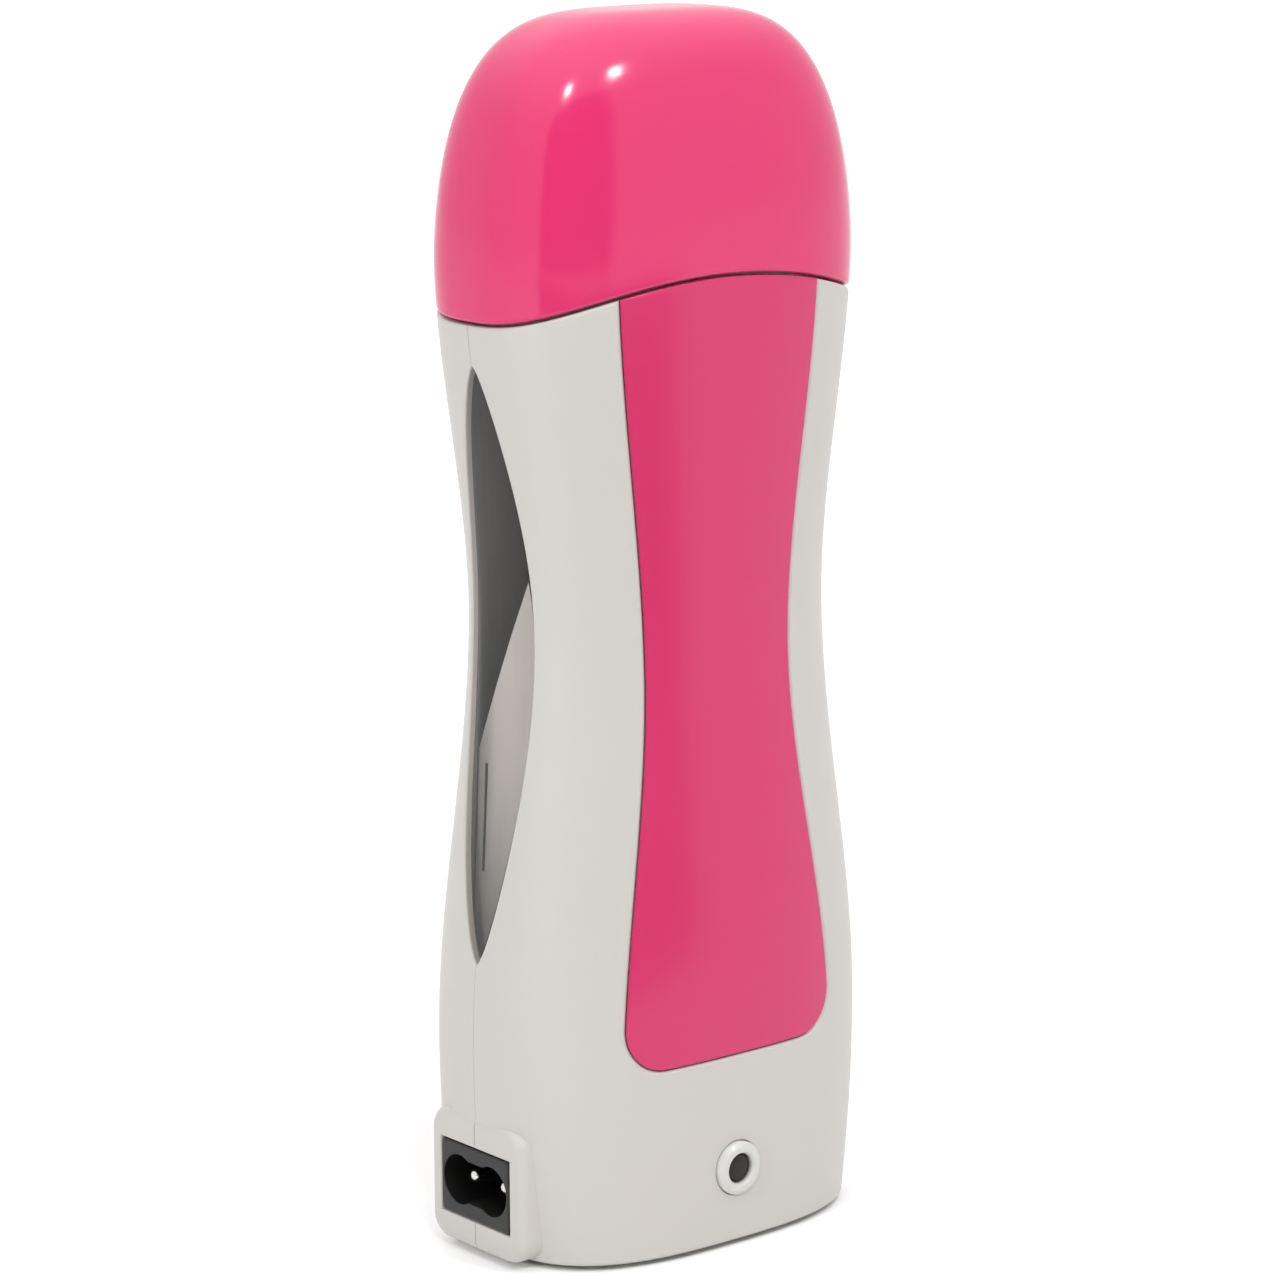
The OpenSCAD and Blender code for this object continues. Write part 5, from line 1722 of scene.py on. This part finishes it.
class FeetOperator(bpy.types.Operator):
    """Builds the four feet"""

    bl_idname = "wax_heater.feet"
    bl_label = "Feet"

    # Radius of a foot and rounding of its lower edge
    RADIUS, EDGE_R = 3.5, 0.35

    def execute(self, context):
        low, high = (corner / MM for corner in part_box("feet"))
        r, top = self.RADIUS, high.z
        corners = [(0, 0, 0), (r, 0, self.EDGE_R), (r, top, 0), (0, top, 0)]
        bm = bmesh.new()
        for x in (low.x + r, high.x - r):
            for y in (low.y + r, high.y - r):
                lathe(bm, rounded_profile(corners), (x, y, 0), (0, 0, 1), 48)
        rubber = foot_rubber(group(context.scene, "finish"))
        into_piece(bm, "rubber_feet", rubber, CASE_BODY, ["feet"])
        return {"FINISHED"}


# ---- Pieces kept from the frame -----------------------------------------------------------


class InsideOperator(bpy.types.Operator):
    """Gives the pieces that stay as packed their finishes"""

    bl_idname = "wax_heater.inside"
    bl_label = "Inside pieces"

    def execute(self, context):
        colours = group(context.scene, "finish")
        aluminium = plate_metal(colours)
        steel = metal("Screw steel", (0.74, 0.74, 0.73), 0.3, lines=1500.0)
        finishes = {
            "front_heat_plate": aluminium,
            "rear_heat_plate": aluminium,
            "cartridge_tray": plastic(
                "Tray black", (0.30, 0.29, 0.28), 0.5, grain=1500.0, bump=0.3
            ),
            "heating_element": plastic("Heater film", (0.50, 0.30, 0.14), 0.25, cloud=0.2),
            "heater_clip": metal("Clip steel", (0.66, 0.66, 0.67), 0.28),
            "thermal_fuse": metal("Fuse can", (0.80, 0.76, 0.62), 0.25),
            "indicator_board": plastic("Board brown", (0.54, 0.42, 0.22), 0.45, cloud=0.15),
            "board_resistor": plastic("Resistor paint", (0.78, 0.70, 0.52), 0.35),
            "board_diode": plastic("Diode black", (0.14, 0.14, 0.14), 0.4),
            "board_screws": steel,
            "case_screws": steel,
            "live_lead": plastic("Lead brown", (0.45, 0.27, 0.14), 0.45),
            "neutral_lead": plastic("Lead blue", (0.20, 0.34, 0.60), 0.45),
            "fuse_lead": plastic("Lead white", (0.84, 0.82, 0.78), 0.45),
            "lamp_leads": plastic("Lead red", (0.68, 0.17, 0.17), 0.45),
        }
        for node, material in finishes.items():
            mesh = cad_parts[node].data
            mesh.materials.clear()
            mesh.materials.append(material)
        return {"FINISHED"}


# ---- Stage --------------------------------------------------------------------------------


def background_rays(tree):
    """1 for the rays that show the background: straight, in the gloss and through clear pieces."""
    paths = tree.nodes.new("ShaderNodeLightPath").outputs
    seen = maths(tree, "MAXIMUM", paths["Is Camera Ray"], paths["Is Transmission Ray"])
    return maths(tree, "MAXIMUM", seen, paths["Is Glossy Ray"])


def smooth_range(tree, value, start, end, low, high):
    """low up to start, high from end on, and an even S between them."""
    node = tree.nodes.new("ShaderNodeMapRange")
    node.interpolation_type = "SMOOTHSTEP"
    tree.links.new(value, node.inputs["Value"])
    labels = ("From Min", "From Max", "To Min", "To Max")
    for label, number in zip(labels, (start, end, low, high)):
        node.inputs[label].default_value = number
    return node.outputs["Result"]


# Share of the case's outline, raised to the plan's power, where the floor's white begins
EDGE_SHARE = 0.86
# Distances from the object, in metres, between which that white grows to its full amount
NEAR_WHITE, FAR_WHITE = 0.1, 1.6


def outside_case(tree, place, case):
    """1 on the floor round the case, 0 under it."""
    split = tree.nodes.new("ShaderNodeSeparateXYZ")
    tree.links.new(place, split.inputs[0])
    shares = []
    for axis, size in (("X", case.base_w / 2), ("Y", case.base_d / 2)):
        share = maths(tree, "ABSOLUTE", maths(tree, "DIVIDE", split.outputs[axis], size), 0)
        shares.append(maths(tree, "POWER", share, case.plan_power))
    return smooth_range(tree, maths(tree, "ADD", *shares), EDGE_SHARE, 1.0, 0, 1)


def add_background_white(tree, surface_output, target, lift, case):
    """Adds a white, little near the object and lift far from it, for the rays that show it."""
    nodes, links = tree.nodes, tree.links
    place = nodes.new("ShaderNodeTexCoord").outputs["Object"]
    away = nodes.new("ShaderNodeVectorMath")
    away.operation = "LENGTH"
    links.new(place, away.inputs[0])
    amount = smooth_range(tree, away.outputs["Value"], NEAR_WHITE, FAR_WHITE, lift / 4, lift)
    amount = maths(tree, "MULTIPLY", amount, outside_case(tree, place, case))
    glow = nodes.new("ShaderNodeEmission")
    links.new(maths(tree, "MULTIPLY", background_rays(tree), amount), glow.inputs["Strength"])
    add = nodes.new("ShaderNodeAddShader")
    links.new(surface_output, add.inputs[0])
    links.new(glow.outputs["Emission"], add.inputs[1])
    links.new(add.outputs["Shader"], target)


def direction_of(azimuth, elevation):
    """Direction from the object: azimuth 0 is its front, and 90 degrees its right side."""
    level = math.cos(elevation)
    return Vector(
        (math.sin(azimuth) * level, -math.cos(azimuth) * level, math.sin(elevation))
    )


class StageOperator(bpy.types.Operator):
    """Sets the floor, the lights and the camera"""

    bl_idname = "wax_heater.stage"
    bl_label = "Stage"

    # Half the floor's side, in metres, and its colour
    FLOOR_REACH, FLOOR_COLOUR = 6, (0.93, 0.93, 0.925, 1)
    # The grey card, in metres: direction, distances, lower and upper edge, width, and how far
    # its corners are rounded before it is stretched
    CARD_TURN, CARD_NEAR, CARD_FAR = math.radians(-18), 0.3, 1.3
    CARD_LOW, CARD_HIGH, CARD_WIDE, CARD_CORNER = -0.2, 1.05, 1.45, 0.22
    # Directions of the sides of its part on the floor, in degrees, and its colour
    CARD_SIDES, CARD_COLOUR = (-49, 33), (0.12, 0.12, 0.12, 1)
    # Upward part of a direction from which the light grows brighter
    CEILING_START = 0.35
    # Width of the camera's frame in millimetres, and its nearest and farthest sight in metres
    FRAME_WIDE, SIGHT = 36, (0.01, 30)

    def execute(self, context):
        scene = context.scene
        stage = group(scene, "stage")
        scene.view_settings.view_transform = "Standard"
        self.build_floor(stage)
        self.build_grey_card(stage)
        self.build_world(scene, stage)
        self.build_lights(stage)
        self.build_camera(scene, stage)
        return {"FINISHED"}

    def build_floor(self, stage):
        """A pale floor that keeps the object's shadow."""
        bm = bmesh.new()
        bmesh.ops.create_grid(bm, x_segments=1, y_segments=1, size=self.FLOOR_REACH)
        floor = linked_object(bm, "floor")
        material = bpy.data.materials.new("Floor")
        material.use_nodes = True
        tree = material.node_tree
        shader = tree.nodes["Principled BSDF"]
        shader.inputs["Base Color"].default_value = self.FLOOR_COLOUR
        shader.inputs["Roughness"].default_value = 0.9
        shader.inputs["Specular IOR Level"].default_value = 0.1
        case = group(bpy.context.scene, "case")
        target = tree.nodes["Material Output"].inputs["Surface"]
        add_background_white(tree, shader.outputs["BSDF"], target, stage.floor_lift, case)
        floor.data.materials.append(material)

    def build_grey_card(self, stage):
        """A dark card in front and on the floor, which leaves a darker band in the gloss."""
        bm = bmesh.new()
        bmesh.ops.create_grid(bm, x_segments=1, y_segments=1, size=0.5)
        bmesh.ops.bevel(
            bm,
            geom=bm.verts[:],
            offset=self.CARD_CORNER,
            segments=10,
            profile=0.5,
            affect="VERTICES",
            material=-1,
        )
        low, high = self.CARD_LOW, self.CARD_HIGH
        bmesh.ops.scale(bm, vec=(self.CARD_WIDE, high - low, 1), verts=bm.verts[:])
        matrix = (
            Matrix.Rotation(self.CARD_TURN, 4, "Z")
            @ Matrix.Translation((0, -self.CARD_FAR, stage.aim_z + (low + high) / 2))
            @ Matrix.Rotation(math.radians(90), 4, "X")
        )
        bmesh.ops.transform(bm, matrix=matrix, verts=bm.verts[:])
        left, right = (math.radians(t) for t in self.CARD_SIDES)
        near, far = self.CARD_NEAR, self.CARD_FAR
        corners = [
            bm.verts.new((away * math.sin(a), -away * math.cos(a), MM))
            for a, away in ((left, near), (right, near), (right, far), (left, far))
        ]
        bmesh.ops.contextual_create(bm, geom=corners)
        card = linked_object(bm, "grey_card")
        for ray in ("camera", "diffuse", "transmission", "volume_scatter", "shadow"):
            setattr(card, "visible_" + ray, False)
        material = bpy.data.materials.new("Grey card")
        material.use_nodes = True
        shader = material.node_tree.nodes["Principled BSDF"]
        shader.inputs["Base Color"].default_value = self.CARD_COLOUR
        card.data.materials.append(material)

    def build_world(self, scene, stage):
        """An even pale light, and white where the camera sees past the floor."""
        world = bpy.data.worlds.new("Studio")
        scene.world = world
        world.use_nodes = True
        tree = world.node_tree
        tree.nodes["Background"].inputs["Color"].default_value = (1, 1, 1, 1)
        direction = tree.nodes.new("ShaderNodeSeparateXYZ")
        sky = tree.nodes.new("ShaderNodeTexCoord").outputs["Generated"]
        tree.links.new(sky, direction.inputs[0])
        high = 1.0 + stage.ceiling
        overhead = smooth_range(tree, direction.outputs["Z"], self.CEILING_START, 1.0, 1.0, high)
        mix = tree.nodes.new("ShaderNodeMix")
        mix.data_type = "FLOAT"
        tree.links.new(background_rays(tree), mix.inputs["Factor"])
        mix.inputs["A"].default_value = stage.ambient
        mix.inputs["B"].default_value = 1.0
        strength = maths(tree, "MULTIPLY", mix.outputs["Result"], overhead)
        tree.links.new(strength, tree.nodes["Background"].inputs["Strength"])

    def build_lights(self, stage):
        """Two small lamps in front, one beside, one behind and a softbox above."""
        aim = Vector((0, 0, stage.aim_z))
        lamps = [
            # Name, power, azimuth, elevation, distance, width, height
            ("left_lamp", stage.key_left, -30.2, 46.9, 1.1, 0.1, 0.1),
            ("right_lamp", stage.key_right, 15.9, 44.0, 1.1, 0.1, 0.1),
            ("top_softbox", stage.top_light, 30, 78, 0.9, 0.8, 0.8),
            ("window_lamp", stage.window_light, -75, 28, 1.1, 0.09, 0.09),
            ("rear_lamp", stage.rear_light, 168, 38, 1.1, 0.4, 0.4),
        ]
        for name, energy, azimuth, elevation, distance, wide, tall in lamps:
            light = bpy.data.lights.new(name, "AREA")
            light.shape = "RECTANGLE"
            light.size, light.size_y = wide, tall
            light.energy = energy
            lamp = bpy.data.objects.new(name, light)
            back = direction_of(math.radians(azimuth), math.radians(elevation))
            lamp.location = aim + back * distance
            lamp.rotation_mode = "QUATERNION"
            lamp.rotation_quaternion = back.to_track_quat("Z", "Y")
            lamp.visible_glossy = name in ("left_lamp", "right_lamp")
            bpy.context.scene.collection.objects.link(lamp)

    def build_camera(self, scene, stage):
        """A camera at the photograph's angle."""
        back = direction_of(-stage.turn, stage.rise)
        right = Vector((0, 0, 1)).cross(back).normalized()
        up = back.cross(right)
        aim = Vector((0, 0, stage.aim_z)) + right * stage.aim_side
        tilted_right = right * math.cos(stage.roll) + up * math.sin(stage.roll)
        tilted_up = up * math.cos(stage.roll) - right * math.sin(stage.roll)
        data = bpy.data.cameras.new("camera")
        data.lens = stage.lens
        data.sensor_width = self.FRAME_WIDE
        data.clip_start, data.clip_end = self.SIGHT
        camera = bpy.data.objects.new("camera", data)
        scene.collection.objects.link(camera)
        basis = Matrix((tilted_right, tilted_up, back)).transposed()
        camera.matrix_world = Matrix.Translation(aim + back * stage.distance) @ basis.to_4x4()
        scene.camera = camera


# ---- Panel and registration ---------------------------------------------------------------

OPERATORS = (
    StageOperator,
    ShellsOperator,
    PanelsOperator,
    WindowsOperator,
    CapOperator,
    NeckOperator,
    InletOperator,
    IndicatorOperator,
    FeetOperator,
    InsideOperator,
)


class WaxHeaterPanel(bpy.types.Panel):
    """Lists the steps that build the wax heater"""

    bl_idname = "VIEW3D_PT_wax_heater"
    bl_label = "Wax heater"
    bl_space_type = "VIEW_3D"
    bl_region_type = "UI"
    bl_category = "Wax heater"

    def draw(self, context):
        for operator in OPERATORS:
            self.layout.operator(operator.bl_idname)


def register():
    for settings in GROUPS.values():
        bpy.utils.register_class(settings)
    for name, settings in GROUPS.items():
        setattr(bpy.types.Scene, "wax_heater_" + name, PointerProperty(type=settings))
    for operator in OPERATORS:
        bpy.utils.register_class(operator)
    bpy.utils.register_class(WaxHeaterPanel)


def unregister():
    bpy.utils.unregister_class(WaxHeaterPanel)
    for operator in reversed(OPERATORS):
        bpy.utils.unregister_class(operator)
    for name in GROUPS:
        delattr(bpy.types.Scene, "wax_heater_" + name)
    for settings in reversed(list(GROUPS.values())):
        bpy.utils.unregister_class(settings)


def main():
    """Builds everything."""
    register()
    for operator in OPERATORS:
        family, name = operator.bl_idname.split(".")
        getattr(getattr(bpy.ops, family), name)()


if __name__ == "__main__":
    main()
